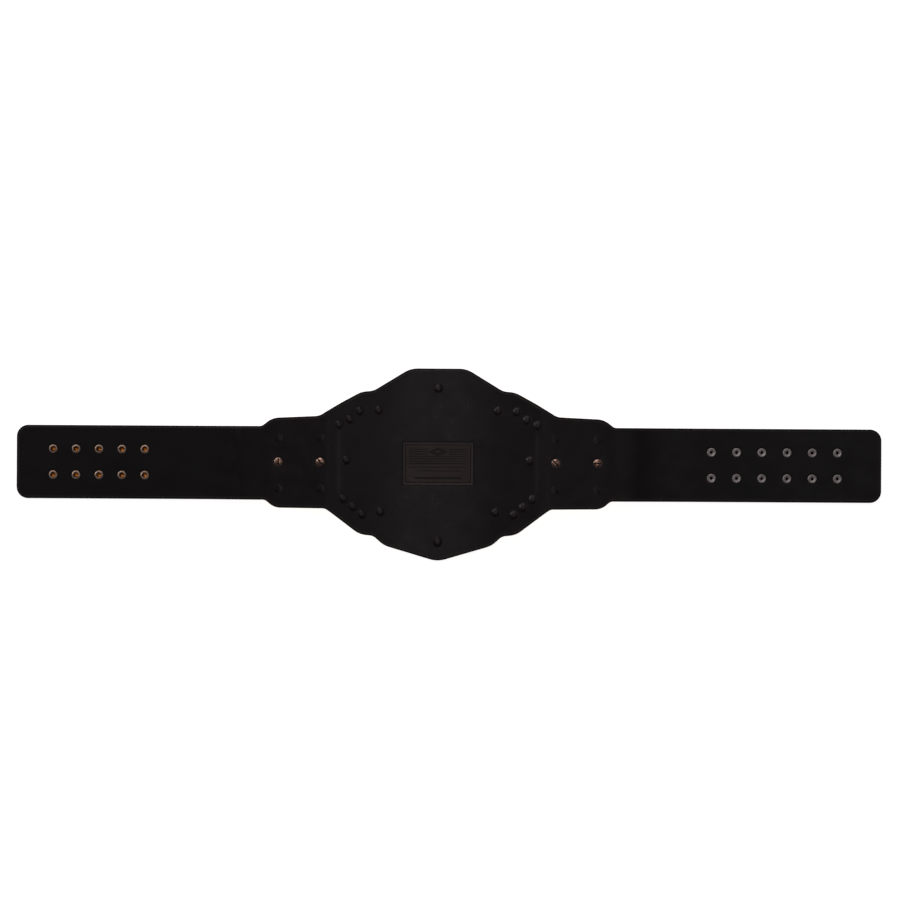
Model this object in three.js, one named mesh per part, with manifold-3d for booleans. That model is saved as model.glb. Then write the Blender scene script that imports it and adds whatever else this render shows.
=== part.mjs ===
// A championship title belt lying face down on its metal plates, unfastened, with its lining facing up.
// Sizes are millimetres. +X runs along the strap towards the stud end, +Y towards the crown and +Z up.
// The origin is on the surface that the belt lies on, under the middle of its box.

import * as THREE from "three";
import { mergeVertices } from "three/addons/utils/BufferGeometryUtils.js";
import Module from "manifold-3d";

const wasm = await Module();
wasm.setup();

// Leather. Lengths along the belt are measured on the leather laid flat, outwards from its middle.
const SOCKET_END_REACH = 627.6;
const STUD_END_REACH = 659.6;
const STRAP_WIDTH = 108.8;
const END_CORNER_RADIUS = 17;
const WING_REACH = 261.3;
const CROWN_HEIGHT = 141;
const POINT_DEPTH = 144.8;
const CORNER_SOFTNESS = 12;
const STRAP_THICKNESS = 3;
const LINING_THICKNESS = 2;
const CLEARANCE = 0.3;

// The outline outside the strap. Reach is a share of WING_REACH, rise is a share of the height from the
// strap's edge to the crown or the point, and round is a share of CORNER_SOFTNESS. Rows stand on both sides.
const UPPER_CORNERS = [
  { reach: 0.159, rise: 1, round: 0.9 },
  { reach: 0.369, rise: 0.614, round: 0.5 },
  { reach: 0.438, rise: 0.596, round: 0.6 },
  { reach: 0.574, rise: 0.375, round: 1 },
  { reach: 0.677, rise: 0.178, round: 0.5 },
  { reach: 0.941, rise: 0.141, round: 0.8 },
  { reach: 1, rise: 0, round: 0.3 },
];
const LOWER_CORNERS = [
  { reach: 0, rise: 1, round: 1 },
  { reach: 0.306, rise: 0.74, round: 0.7 },
  { reach: 0.367, rise: 0.582, round: 0.5 },
  { reach: 0.446, rise: 0.56, round: 0.8 },
  { reach: 0.642, rise: 0.137, round: 0.3 },
  { reach: 0.93, rise: 0.128, round: 0.8 },
  { reach: 0.981, rise: 0, round: 0.3 },
];

// Plates on the front of the belt. The main plate's edge carries an ear on each side, above the strap.
const MAIN_PLATE_REACH = 148.2;
const EAR_REACH = 7.6;
const EAR_RADIUS = 7;
const PLATE_GAP = 15.8;
const SIDE_PLATE_LENGTH = 84;
const PLATE_MARGIN = 7.5;
const PLATE_THICKNESS = 2.2;
const RIM_WIDTH = 5;
const RIM_HEIGHT = 1.4;
const MEDALLION_RADIUS = 40;
const MEDALLION_HEIGHT = 3;
const SIDE_DISC_RADIUS = 19;
const SIDE_DISC_HEIGHT = 1.4;

// Covered fasteners. Each plate carries posts that pass through the strap and end under the lining's bumps.
const POST_RADIUS = 3.4;
const POST_STAND = 1.8;
const BUMP_RADIUS = 7;
const BUMP_HEIGHT = 2.1;

// Posts of the main plate. Reach is a share of MAIN_PLATE_REACH, and height is a share of CROWN_HEIGHT or,
// below the strap's middle line, of POINT_DEPTH. Each row stands on both sides.
const MAIN_POSTS = [
  { reach: 0, height: 0.792 },
  { reach: 0.601, height: 0.56 },
  { reach: 0.794, height: 0.55 },
  { reach: 0.896, height: 0.464 },
  { reach: 0.928, height: 0.038 },
  { reach: 0.959, height: -0.356 },
  { reach: 0.86, height: -0.439 },
  { reach: 0.767, height: -0.517 },
  { reach: 0.581, height: -0.492 },
  { reach: 0, height: -0.793 },
];
const EAR_LINE = 57.5;

// Side plates' fasteners. Each plate has two columns: a slotted screw with a post above and below it.
const COLUMN_INSET = 10.9;
const SIDE_POST_OFFSET = 37.5;
const SCREW_LINE = 2;
const SCREW_HEAD_RADIUS = 5.9;
const SCREW_HEAD_HEIGHT = 1.7;
const SCREW_SHANK_RADIUS = 2;
const SCREW_BITE = 1.5;
const SCREW_SLOT_WIDTH = 1.3;
const SCREW_SLOT_DEPTH = 0.9;

// Slotted screws. Turn is the slot's angle from the strap's line in degrees.
const SCREWS = [
  { name: "screw_left_outer", side: -1, column: "outer", turn: 90 },
  { name: "screw_left_inner", side: -1, column: "inner", turn: -50 },
  { name: "screw_right_inner", side: 1, column: "inner", turn: -45 },
  { name: "screw_right_outer", side: 1, column: "outer", turn: 5 },
];

// Panel pressed into the middle of the lining.
const PANEL_WIDTH = 103;
const PANEL_HEIGHT = 61.5;
const PANEL_DEPTH = 0.5;

// Snaps. Sockets and their caps are on one end, studs and their eyelets on the other.
const SNAP_ROW_SPACING = 38.3;
const SOCKET_COLUMNS = 5;
const SOCKET_PITCH = 33.9;
const SOCKET_INSET = 54.2;
const STUD_COLUMNS = 6;
const STUD_PITCH = 37.3;
const STUD_INSET = 65.2;
const BARREL_RADIUS = 2.4;
const SOCKET_RADIUS = 6.3;
const SOCKET_HEIGHT = 3;
const SOCKET_FLOOR = 1;
const SNAP_MOUTH_RADIUS = 3.6;
const SNAP_FIT = 0.3;
const CAP_RADIUS = 6.6;
const CAP_HEIGHT = 2;
const EYELET_RADIUS = 6.5;
const EYELET_HEIGHT = 1.6;
const EYELET_HOLE_RADIUS = 1.8;
const STUD_BASE_RADIUS = 5.6;
const STUD_BASE_HEIGHT = 1.2;
const STUD_NECK_RADIUS = 2.5;
const STUD_HEIGHT = 3.9;

// How the belt lies. The main plate is a shallow trough, the leather folds in the gap beside it, and each
// strap drops to rest on its snaps. Turns are degrees, on one side.
const TROUGH_TURN = 14;
const FOLD_TURN = -15.5;
const WING_TURN = 3;
const DROP_LENGTH = 50;
const LANDING_LENGTH = 95;
const STEEPEST_DROP = 60;

// Faces of the round pieces and facets of the bends.
const SNAP_SIDES = 10;
const HIDDEN_SIDES = 8;
const HOLE_SIDES = 6;
const BUMP_SIDES = 8;
const SCREW_SIDES = 10;
const EAR_SIDES = 8;
const DISC_SIDES = 16;
const CORNER_FACETS = 2;
const TROUGH_FACETS = 4;
const FOLD_FACETS = 2;
const WING_FACETS = 2;
const DROP_FACETS = 4;
const LANDING_FACETS = 4;
const SLOPE_HALVINGS = 50;

// How far a cutting shape stands clear of what it cuts.
const OVERCUT = 1;

// Levels over the strap's front face, towards the wearer.
const strapBack = STRAP_THICKNESS;
const liningFront = strapBack + CLEARANCE;
const liningBack = liningFront + LINING_THICKNESS;
const plateBack = -CLEARANCE;
const plateFront = plateBack - PLATE_THICKNESS;
const rimFront = plateFront - RIM_HEIGHT;
const plateMiddle = (plateBack + plateFront) / 2;
const medallionFront = plateFront - MEDALLION_HEIGHT;
const hardwareBack = liningBack + CLEARANCE;
const postTop = strapBack + POST_STAND;

// Places along the belt.
const earCentre = MAIN_PLATE_REACH + EAR_REACH - EAR_RADIUS;
const foldStart = MAIN_PLATE_REACH + EAR_REACH;
const sideStart = MAIN_PLATE_REACH + PLATE_GAP;
const sideEnd = sideStart + SIDE_PLATE_LENGTH;
const columns = { inner: sideStart + COLUMN_INSET, outer: sideEnd - COLUMN_INSET };
const landingEnd = sideEnd + DROP_LENGTH + LANDING_LENGTH;

// Half the length of the level facet in the middle of the trough.
const middleHalf = foldStart / (2 * TROUGH_FACETS + 1);

// The facets of the strap's front face in side view, from the middle facet to one end.
function facetsTo(reach, dropSlope) {
  const wingSlope = TROUGH_TURN + FOLD_TURN + WING_TURN;
  const stretches = [
    { length: foldStart - middleHalf, turn: TROUGH_TURN, facets: TROUGH_FACETS },
    { length: sideStart - foldStart, turn: FOLD_TURN, facets: FOLD_FACETS },
    { length: sideEnd - sideStart, turn: WING_TURN, facets: WING_FACETS },
    { length: DROP_LENGTH, turn: -dropSlope - wingSlope, facets: DROP_FACETS },
    { length: LANDING_LENGTH, turn: dropSlope, facets: LANDING_FACETS },
  ];
  const facets = [];
  let slope = 0;
  for (const stretch of stretches) {
    for (let i = 0; i < stretch.facets; i++) {
      const turned = (stretch.turn * (i + 0.5)) / stretch.facets;
      facets.push({
        length: stretch.length / stretch.facets,
        slope: THREE.MathUtils.degToRad(slope + turned),
      });
    }
    slope += stretch.turn;
  }
  return [...facets, { length: reach - landingEnd, slope: 0 }];
}

// The height that a side's end has below the middle, for its facets.
function dropOf(facets) {
  return -facets.reduce((height, { length, slope }) => height + length * Math.sin(slope), 0);
}

// The facets of one side whose end lies flat on hardware of a given height.
function restingFacets(reach, hardwareHeight) {
  const drop = -medallionFront - hardwareHeight;
  let gentle = 0;
  let steep = STEEPEST_DROP;
  for (let i = 0; i < SLOPE_HALVINGS; i++) {
    const slope = (gentle + steep) / 2;
    if (dropOf(facetsTo(reach, slope)) < drop) gentle = slope;
    else steep = slope;
  }
  return facetsTo(reach, steep);
}

// The bend lines of the whole belt in side view, from the socket end to the stud end. Each has the slope of
// the facet after it and its mitred normal.
function bendLines() {
  const socketSide = restingFacets(SOCKET_END_REACH, CAP_HEIGHT);
  const studSide = restingFacets(STUD_END_REACH, STUD_HEIGHT);
  const facets = [
    ...socketSide.map(({ length, slope }) => ({ length, slope: -slope })).reverse(),
    { length: 2 * middleHalf, slope: 0 },
    ...studSide,
  ];
  const bends = [{ s: -SOCKET_END_REACH, x: 0, z: CAP_HEIGHT, slope: facets[0].slope }];
  facets.forEach(({ length, slope }, i) => {
    const last = bends[i];
    const next = facets[i + 1] ?? facets[i];
    bends.push({
      s: last.s + length,
      x: last.x + length * Math.cos(slope),
      z: last.z + length * Math.sin(slope),
      slope: next.slope,
    });
  });
  bends.forEach((bend, i) => {
    const before = bends[Math.max(0, i - 1)].slope;
    const mean = (before + bend.slope) / 2;
    const stretch = 1 / Math.cos((bend.slope - before) / 2);
    bend.normalX = -Math.sin(mean) * stretch;
    bend.normalZ = Math.cos(mean) * stretch;
  });
  const middle = (bends[0].x + bends[bends.length - 1].x) / 2;
  return bends.map((bend) => ({ ...bend, x: bend.x - middle }));
}

const bends = bendLines();

// The bend before s.
function bendBefore(s) {
  const last = bends.length - 2;
  const after = bends.findIndex((bend) => bend.s > s);
  return after < 0 ? last : THREE.MathUtils.clamp(after - 1, 0, last);
}

// A point of the bent belt: s along the leather, y across it and n from the strap's front towards the wearer.
function placed(s, y, n) {
  const i = bendBefore(s);
  const from = bends[i];
  const to = bends[i + 1];
  const share = (s - from.s) / (to.s - from.s);
  return new THREE.Vector3(
    THREE.MathUtils.lerp(from.x + from.normalX * n, to.x + to.normalX * n, share),
    y + middleShift,
    THREE.MathUtils.lerp(from.z + from.normalZ * n, to.z + to.normalZ * n, share),
  );
}

// Puts an object on the strap's front face at s and y, with its +Z along the leather's normal.
function seat(object, { s, y }) {
  object.position.copy(placed(s, y, 0));
  object.rotation.y = -bends[bendBefore(s)].slope;
  object.updateMatrix();
  return object;
}

// A geometry without double corners and without faces of no area.
function cleaned(geometry) {
  const bare = geometry.clone();
  bare.deleteAttribute("normal");
  bare.deleteAttribute("uv");
  const merged = mergeVertices(bare);
  const corners = merged.index.array;
  const kept = [];
  for (let i = 0; i < corners.length; i += 3) {
    const [a, b, c] = corners.slice(i, i + 3);
    if (a !== b && b !== c && a !== c) kept.push(a, b, c);
  }
  merged.setIndex(kept);
  return merged;
}

// A manifold-3d solid from a closed geometry.
function toSolid(geometry) {
  const clean = cleaned(geometry);
  const mesh = new wasm.Mesh({
    numProp: 3,
    vertProperties: new Float32Array(clean.attributes.position.array),
    triVerts: new Uint32Array(clean.index.array),
  });
  return new wasm.Manifold(mesh);
}

// A geometry from a manifold-3d solid.
function toGeometry(solid) {
  const { vertProperties, triVerts } = solid.getMesh();
  const geometry = new THREE.BufferGeometry();
  geometry.setAttribute("position", new THREE.Float32BufferAttribute(vertProperties, 3));
  geometry.setIndex(new THREE.Uint32BufferAttribute(triVerts, 1));
  return geometry;
}

// The corners of one edge of the belt from end to end. Side is 1 for the upper edge and -1 for the lower.
function edgeCorners(table, apexHeight, side) {
  const strapEdge = STRAP_WIDTH / 2;
  const right = table.map(({ reach, rise, round }) => ({
    s: reach * WING_REACH,
    y: side * (strapEdge + rise * (apexHeight - strapEdge)),
    round: round * CORNER_SOFTNESS,
  }));
  const left = right.filter(({ s }) => s > 0).map((corner) => ({ ...corner, s: -corner.s }));
  return [
    { s: -SOCKET_END_REACH, y: side * strapEdge, round: 0 },
    ...left.reverse(),
    ...right,
    { s: STUD_END_REACH, y: side * strapEdge, round: 0 },
  ];
}

// Edge corners moved towards the middle of the leather by a distance.
function insetCorners(corners, side, distance) {
  const normals = corners.slice(1).map((corner, i) => {
    const along = new THREE.Vector2(corner.s - corners[i].s, corner.y - corners[i].y).normalize();
    return new THREE.Vector2(along.y, -along.x).multiplyScalar(side);
  });
  return corners.map((corner, i) => {
    const before = normals[Math.max(0, i - 1)];
    const after = normals[Math.min(i, normals.length - 1)];
    const mitre = before.clone().add(after).multiplyScalar(distance / (1 + before.dot(after)));
    return { s: corner.s + mitre.x, y: corner.y + mitre.y, round: corner.round };
  });
}

// Adds a line along edge corners to a path, with each corner rounded as its row says.
function addRoundedLine(path, corners) {
  const points = corners.map(({ s, y }) => new THREE.Vector2(s, y));
  for (let i = 1; i < points.length - 1; i++) {
    const corner = points[i];
    const softness = corners[i].round;
    const entry = corner.clone().lerp(points[i - 1], softness / corner.distanceTo(points[i - 1]));
    const exit = corner.clone().lerp(points[i + 1], softness / corner.distanceTo(points[i + 1]));
    path.lineTo(entry.x, entry.y);
    path.quadraticCurveTo(corner.x, corner.y, exit.x, exit.y);
  }
}

// One edge of the leather with its rounded end corners.
function leatherEdge(corners, side) {
  const radius = END_CORNER_RADIUS;
  const y = side * (STRAP_WIDTH / 2 - radius);
  const top = (side * Math.PI) / 2;
  const path = new THREE.Path();
  path.absarc(-SOCKET_END_REACH + radius, y, radius, side * Math.PI, top, side > 0);
  addRoundedLine(path, corners);
  path.absarc(STUD_END_REACH - radius, y, radius, top, 0, side > 0);
  return path.getPoints(CORNER_FACETS);
}

const upperCorners = edgeCorners(UPPER_CORNERS, CROWN_HEIGHT, 1);
const lowerCorners = edgeCorners(LOWER_CORNERS, POINT_DEPTH, -1);
const leatherOutline = { upper: leatherEdge(upperCorners, 1), lower: leatherEdge(lowerCorners, -1) };

// The belt's y is measured from the strap's middle line. This shift brings the middle of its box over the
// origin.
const middleShift = -(heightAt(leatherOutline.upper, 0) + heightAt(leatherOutline.lower, 0)) / 2;

// One edge of a plate that follows the leather's edge at a distance, with its corners cut off straight.
function plateEdge(leatherCorners, side, distance) {
  const corners = insetCorners(leatherCorners, side, distance);
  const last = corners[corners.length - 1];
  const path = new THREE.Path();
  path.moveTo(corners[0].s, corners[0].y);
  addRoundedLine(path, corners);
  path.lineTo(last.s, last.y);
  return path.getPoints(1);
}

// The outline of a plate that follows the leather's edge at a distance.
function plateOutline(distance) {
  return {
    upper: plateEdge(upperCorners, 1, distance),
    lower: plateEdge(lowerCorners, -1, distance),
  };
}

// The outline of a disc.
function discOutline({ s, y }, radius, sides) {
  const upper = [];
  const lower = [];
  for (let i = 0; i <= sides / 2; i++) {
    const angle = Math.PI - (2 * Math.PI * i) / sides;
    upper.push(new THREE.Vector2(s + radius * Math.cos(angle), y + radius * Math.sin(angle)));
    lower.push(new THREE.Vector2(s + radius * Math.cos(angle), y - radius * Math.sin(angle)));
  }
  return { upper, lower };
}

// The outline of a rectangle over the middle of the belt.
function rectangleOutline(width, height) {
  const edge = (y) => [new THREE.Vector2(-width / 2, y), new THREE.Vector2(width / 2, y)];
  return { upper: edge(height / 2), lower: edge(-height / 2) };
}

// The height of a line of points at s.
function heightAt(points, s) {
  const after = points.findIndex((point) => point.x >= s);
  const i = after < 0 ? points.length - 1 : Math.max(after, 1);
  const from = points[i - 1];
  const to = points[i];
  const share = to.x > from.x ? THREE.MathUtils.clamp((s - from.x) / (to.x - from.x), 0, 1) : 1;
  return THREE.MathUtils.lerp(from.y, to.y, share);
}

// The stretch of a line of points between two places.
function stretchOf(points, low, high) {
  const inside = points.filter((point) => point.x > low && point.x < high);
  return [
    new THREE.Vector2(low, heightAt(points, low)),
    ...inside,
    new THREE.Vector2(high, heightAt(points, high)),
  ];
}

// A closed slab between two levels that fills an outline between two places and is bent with the belt.
function bentSlab(outline, low, high, front, back) {
  const lines = bends.map((bend) => bend.s).filter((s) => s > low && s < high);
  const places = [low, ...lines, high];
  const corners = [];
  const addFace = (...points) => points.forEach(([s, y, n]) => corners.push(...placed(s, y, n).toArray()));
  const addWall = (a, b) => {
    addFace([a.x, a.y, front], [b.x, b.y, front], [b.x, b.y, back]);
    addFace([a.x, a.y, front], [b.x, b.y, back], [a.x, a.y, back]);
  };
  places.slice(1).forEach((end, i) => {
    const lower = stretchOf(outline.lower, places[i], end);
    const upper = stretchOf(outline.upper, places[i], end);
    const contour = [...lower, ...upper.reverse()];
    for (const [a, b, c] of THREE.ShapeUtils.triangulateShape(contour, [])) {
      const [p, q, r] = [contour[a], contour[b], contour[c]];
      addFace([p.x, p.y, back], [q.x, q.y, back], [r.x, r.y, back]);
      addFace([p.x, p.y, front], [r.x, r.y, front], [q.x, q.y, front]);
    }
    contour.forEach((point, k) => {
      const next = contour[(k + 1) % contour.length];
      const onPlace = point.x === next.x && (point.x === places[i] || point.x === end);
      if (!onPlace || point.x === low || point.x === high) addWall(point, next);
    });
  });
  const geometry = new THREE.BufferGeometry();
  geometry.setAttribute("position", new THREE.Float32BufferAttribute(corners, 3));
  return toSolid(geometry);
}

// A round geometry about Z from [radius, height] corners, listed so that its faces point outwards.
function turned(profile, sides = SNAP_SIDES) {
  const points = profile.map(([radius, height]) => new THREE.Vector2(radius, height));
  return cleaned(new THREE.LatheGeometry(points, sides).rotateX(Math.PI / 2));
}

// A plain bar about Z between two heights.
function bar(radius, low, high) {
  const profile = [
    [0, low],
    [radius, low],
    [radius, high],
    [0, high],
  ];
  return turned(profile, HOLE_SIDES);
}

// A geometry seated on the belt, as a solid.
function seatedSolid(geometry, spot) {
  return toSolid(geometry.clone().applyMatrix4(seat(new THREE.Object3D(), spot).matrix));
}

// A solid with a bar of a given size cut out at each spot.
function bored(solid, spots, radius, low, high) {
  const cutter = bar((radius + CLEARANCE) / Math.cos(Math.PI / HOLE_SIDES), low, high);
  return spots.reduce((left, spot) => left.subtract(seatedSolid(cutter, spot)), solid);
}

// Both sides' spots of a table row, or one spot on the middle.
function mirrored(s, y) {
  return s > 0 ? [{ s: -s, y }, { s, y }] : [{ s, y }];
}

// The spots of one end's snaps, in two rows.
function snapSpots(count, firstPlace, pitch) {
  const row = (y) => Array.from({ length: count }, (_, i) => ({ s: firstPlace + pitch * i, y }));
  return [...row(SNAP_ROW_SPACING / 2), ...row(-SNAP_ROW_SPACING / 2)];
}

const earSpots = mirrored(earCentre, EAR_LINE);
const mainPosts = MAIN_POSTS.flatMap(({ reach, height }) =>
  mirrored(reach * MAIN_PLATE_REACH, height * (height > 0 ? CROWN_HEIGHT : POINT_DEPTH)),
).concat(earSpots);
const sidePosts = [columns.inner, columns.outer].flatMap((column) => [
  ...mirrored(column, SIDE_POST_OFFSET),
  ...mirrored(column, -SIDE_POST_OFFSET),
]);
const screws = SCREWS.map((row) => ({ ...row, s: row.side * columns[row.column], y: SCREW_LINE }));
const sockets = snapSpots(SOCKET_COLUMNS, -SOCKET_END_REACH + SOCKET_INSET, SOCKET_PITCH);
const firstStud = STUD_END_REACH - STUD_INSET - (STUD_COLUMNS - 1) * STUD_PITCH;
const studs = snapSpots(STUD_COLUMNS, firstStud, STUD_PITCH);

// One layer of leather in the belt's whole outline, with holes for the screws and snaps.
function leatherLayer(front, back) {
  const layer = bentSlab(leatherOutline, -SOCKET_END_REACH, STUD_END_REACH, front, back);
  const drilled = bored(layer, screws, SCREW_SHANK_RADIUS, front - OVERCUT, back + OVERCUT);
  return bored(drilled, [...sockets, ...studs], BARREL_RADIUS, front - OVERCUT, back + OVERCUT);
}

// The outer leather, with holes for the plates' posts too.
function strapSolid() {
  const posts = [...mainPosts, ...sidePosts];
  return bored(leatherLayer(0, strapBack), posts, POST_RADIUS, -OVERCUT, strapBack + OVERCUT);
}

// The lining's bump over the end of a post.
function bumpGeometry() {
  const foot = (liningFront + liningBack) / 2;
  const profile = [
    [0, foot],
    [BUMP_RADIUS, foot],
    [BUMP_RADIUS, liningBack],
    [BUMP_RADIUS * 0.6, liningBack + BUMP_HEIGHT],
    [0, liningBack + BUMP_HEIGHT],
  ];
  return turned(profile, BUMP_SIDES);
}

// The lining, with a bump and a pocket over each post and the pressed panel.
function liningSolid() {
  const posts = [...mainPosts, ...sidePosts];
  const bump = bumpGeometry();
  const layer = leatherLayer(liningFront, liningBack);
  const bumped = posts.reduce((solid, spot) => solid.add(seatedSolid(bump, spot)), layer);
  const pocketed = bored(bumped, posts, POST_RADIUS, liningFront - OVERCUT, postTop + CLEARANCE);
  const panel = rectangleOutline(PANEL_WIDTH, PANEL_HEIGHT);
  const end = PANEL_WIDTH / 2;
  return pocketed.subtract(bentSlab(panel, -end, end, liningBack - PANEL_DEPTH, liningBack + OVERCUT));
}

// A plate between two places, with a raised rim round its front.
function rimmedPlate(low, high) {
  const whole = bentSlab(plateOutline(PLATE_MARGIN), low, high, rimFront, plateBack);
  const field = plateOutline(PLATE_MARGIN + RIM_WIDTH);
  return whole.subtract(bentSlab(field, low + RIM_WIDTH, high - RIM_WIDTH, rimFront - OVERCUT, plateFront));
}

// A plate with posts on its back.
function posted(plate, spots) {
  const post = bar(POST_RADIUS, plateMiddle, postTop);
  return spots.reduce((solid, spot) => solid.add(seatedSolid(post, spot)), plate);
}

// A disc between two levels, bent with the belt.
function bentDisc(spot, radius, sides, front, back) {
  return bentSlab(discOutline(spot, radius, sides), spot.s - radius, spot.s + radius, front, back);
}

// The main plate, with its ears and the medallion that the belt lies on.
function mainPlateSolid() {
  const plate = rimmedPlate(-MAIN_PLATE_REACH, MAIN_PLATE_REACH);
  const ear = (spot) => bentDisc(spot, EAR_RADIUS, EAR_SIDES, rimFront, plateBack);
  const eared = earSpots.reduce((solid, spot) => solid.add(ear(spot)), plate);
  const medallion = bentDisc({ s: 0, y: 0 }, MEDALLION_RADIUS, DISC_SIDES, medallionFront, plateMiddle);
  return posted(eared.add(medallion), mainPosts);
}

// One side plate, with a raised disc and tapped for its two screws.
function sidePlateSolid(side) {
  const [low, high] = side > 0 ? [sideStart, sideEnd] : [-sideEnd, -sideStart];
  const own = ({ s }) => s > low && s < high;
  const middle = { s: (low + high) / 2, y: SCREW_LINE };
  const disc = bentDisc(middle, SIDE_DISC_RADIUS, DISC_SIDES, plateFront - SIDE_DISC_HEIGHT, plateMiddle);
  const plate = posted(rimmedPlate(low, high).add(disc), sidePosts.filter(own));
  const boreEnd = plateBack - SCREW_BITE - CLEARANCE;
  return bored(plate, screws.filter(own), SCREW_SHANK_RADIUS, boreEnd, plateBack + OVERCUT);
}

// A slotted screw: a domed head on the lining and a shank into the side plate.
function screwGeometry() {
  const top = hardwareBack + SCREW_HEAD_HEIGHT;
  const profile = [
    [0, plateBack - SCREW_BITE],
    [SCREW_SHANK_RADIUS, plateBack - SCREW_BITE],
    [SCREW_SHANK_RADIUS, hardwareBack],
    [SCREW_HEAD_RADIUS, hardwareBack],
    [SCREW_HEAD_RADIUS * 0.88, hardwareBack + SCREW_HEAD_HEIGHT * 0.6],
    [SCREW_HEAD_RADIUS * 0.5, top],
    [0, top],
  ];
  const slot = new THREE.BoxGeometry(3 * SCREW_HEAD_RADIUS, SCREW_SLOT_WIDTH, 2 * SCREW_SLOT_DEPTH);
  return toGeometry(toSolid(turned(profile, SCREW_SIDES)).subtract(toSolid(slot.translate(0, 0, top))));
}

// The female half of a snap, a ring on the lining that a stud clicks into.
function socketGeometry() {
  const bore = BARREL_RADIUS + CLEARANCE;
  return turned([
    [bore, hardwareBack],
    [SOCKET_RADIUS, hardwareBack],
    [SOCKET_RADIUS * 0.88, hardwareBack + SOCKET_HEIGHT],
    [SNAP_MOUTH_RADIUS, hardwareBack + SOCKET_HEIGHT],
    [bore, hardwareBack + SOCKET_FLOOR],
    [bore, hardwareBack],
  ]);
}

// The cap that holds a socket: a low button on the front and a barrel through both leathers.
function capGeometry() {
  const profile = [
    [0, -CAP_HEIGHT],
    [CAP_RADIUS * 0.65, -CAP_HEIGHT],
    [CAP_RADIUS, -CLEARANCE],
    [BARREL_RADIUS, -CLEARANCE],
    [BARREL_RADIUS, hardwareBack + SOCKET_FLOOR],
    [0, hardwareBack + SOCKET_FLOOR],
  ];
  return turned(profile, HIDDEN_SIDES);
}

// The eyelet that holds a stud: a rolled, dished flange on the lining and a barrel through both leathers.
function eyeletGeometry() {
  return turned([
    [0, 0],
    [BARREL_RADIUS, 0],
    [BARREL_RADIUS, hardwareBack],
    [EYELET_RADIUS, hardwareBack],
    [EYELET_RADIUS * 0.8, hardwareBack + EYELET_HEIGHT],
    [EYELET_HOLE_RADIUS, hardwareBack],
    [0, hardwareBack],
  ]);
}

// The male half of a snap, on the front of the strap.
function studGeometry() {
  const profile = [
    [0, -STUD_HEIGHT],
    [SNAP_MOUTH_RADIUS - SNAP_FIT, -STUD_HEIGHT],
    [STUD_NECK_RADIUS, -STUD_BASE_HEIGHT],
    [STUD_BASE_RADIUS, -STUD_BASE_HEIGHT],
    [STUD_BASE_RADIUS, -CLEARANCE],
    [0, -CLEARANCE],
  ];
  return turned(profile, HIDDEN_SIDES);
}

const strapLeather = new THREE.MeshStandardMaterial({ color: 0x17151a, roughness: 0.55, metalness: 0 });
const liningLeather = new THREE.MeshStandardMaterial({ color: 0x1c1a1b, roughness: 0.6, metalness: 0 });
const goldPlate = new THREE.MeshStandardMaterial({ color: 0xc79a3c, roughness: 0.3, metalness: 1 });
const screwBrass = new THREE.MeshStandardMaterial({ color: 0xb58f76, roughness: 0.3, metalness: 1 });
const antiqueBrass = new THREE.MeshStandardMaterial({ color: 0x8a7460, roughness: 0.35, metalness: 1 });
const gunmetal = new THREE.MeshStandardMaterial({ color: 0x7d7a79, roughness: 0.4, metalness: 1 });

// A named mesh of one piece.
function piece(name, geometry, material) {
  const mesh = new THREE.Mesh(geometry, material);
  mesh.name = name;
  return mesh;
}

// The copies of one kind of snap piece, each seated at its own spot and numbered from 01.
function snapPieces(name, geometry, material, spots) {
  const group = new THREE.Group();
  spots.forEach((spot, i) => {
    const number = String(i + 1).padStart(2, "0");
    group.add(seat(piece(`${name}_${number}`, geometry, material), spot));
  });
  return group;
}

const belt = new THREE.Group();
belt.add(piece("strap", toGeometry(strapSolid()), strapLeather));
belt.add(piece("lining", toGeometry(liningSolid()), liningLeather));
belt.add(piece("main_plate", toGeometry(mainPlateSolid()), goldPlate));
belt.add(piece("side_plate_left", toGeometry(sidePlateSolid(-1)), goldPlate));
belt.add(piece("side_plate_right", toGeometry(sidePlateSolid(1)), goldPlate));

const screw = screwGeometry();
for (const { name, turn, s, y } of screws) {
  const turnedScrew = screw.clone().rotateZ(THREE.MathUtils.degToRad(turn));
  belt.add(seat(piece(name, turnedScrew, screwBrass), { s, y }));
}
belt.add(snapPieces("socket", socketGeometry(), antiqueBrass, sockets));
belt.add(snapPieces("socket_cap", capGeometry(), antiqueBrass, sockets));
belt.add(snapPieces("eyelet", eyeletGeometry(), gunmetal, studs));
belt.add(snapPieces("stud", studGeometry(), gunmetal, studs));

export default belt;
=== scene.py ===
"""Looks of a championship title belt that lies unfastened on its plates, with its lining facing up.

Lengths are millimetres on the leather laid flat. s runs along the belt from its middle towards the stud
end, y across it towards the crown, and n out of the strap's front face towards the wearer. Lie bends
them into the frame, which is in metres.
"""

import logging
import math
from collections.abc import Callable, Sequence
from dataclasses import dataclass, field
from enum import Enum
from functools import partial

import bpy
import numpy as np
from mathutils import Matrix, Vector
from mathutils.geometry import delaunay_2d_cdt
from mathutils.kdtree import KDTree

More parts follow.
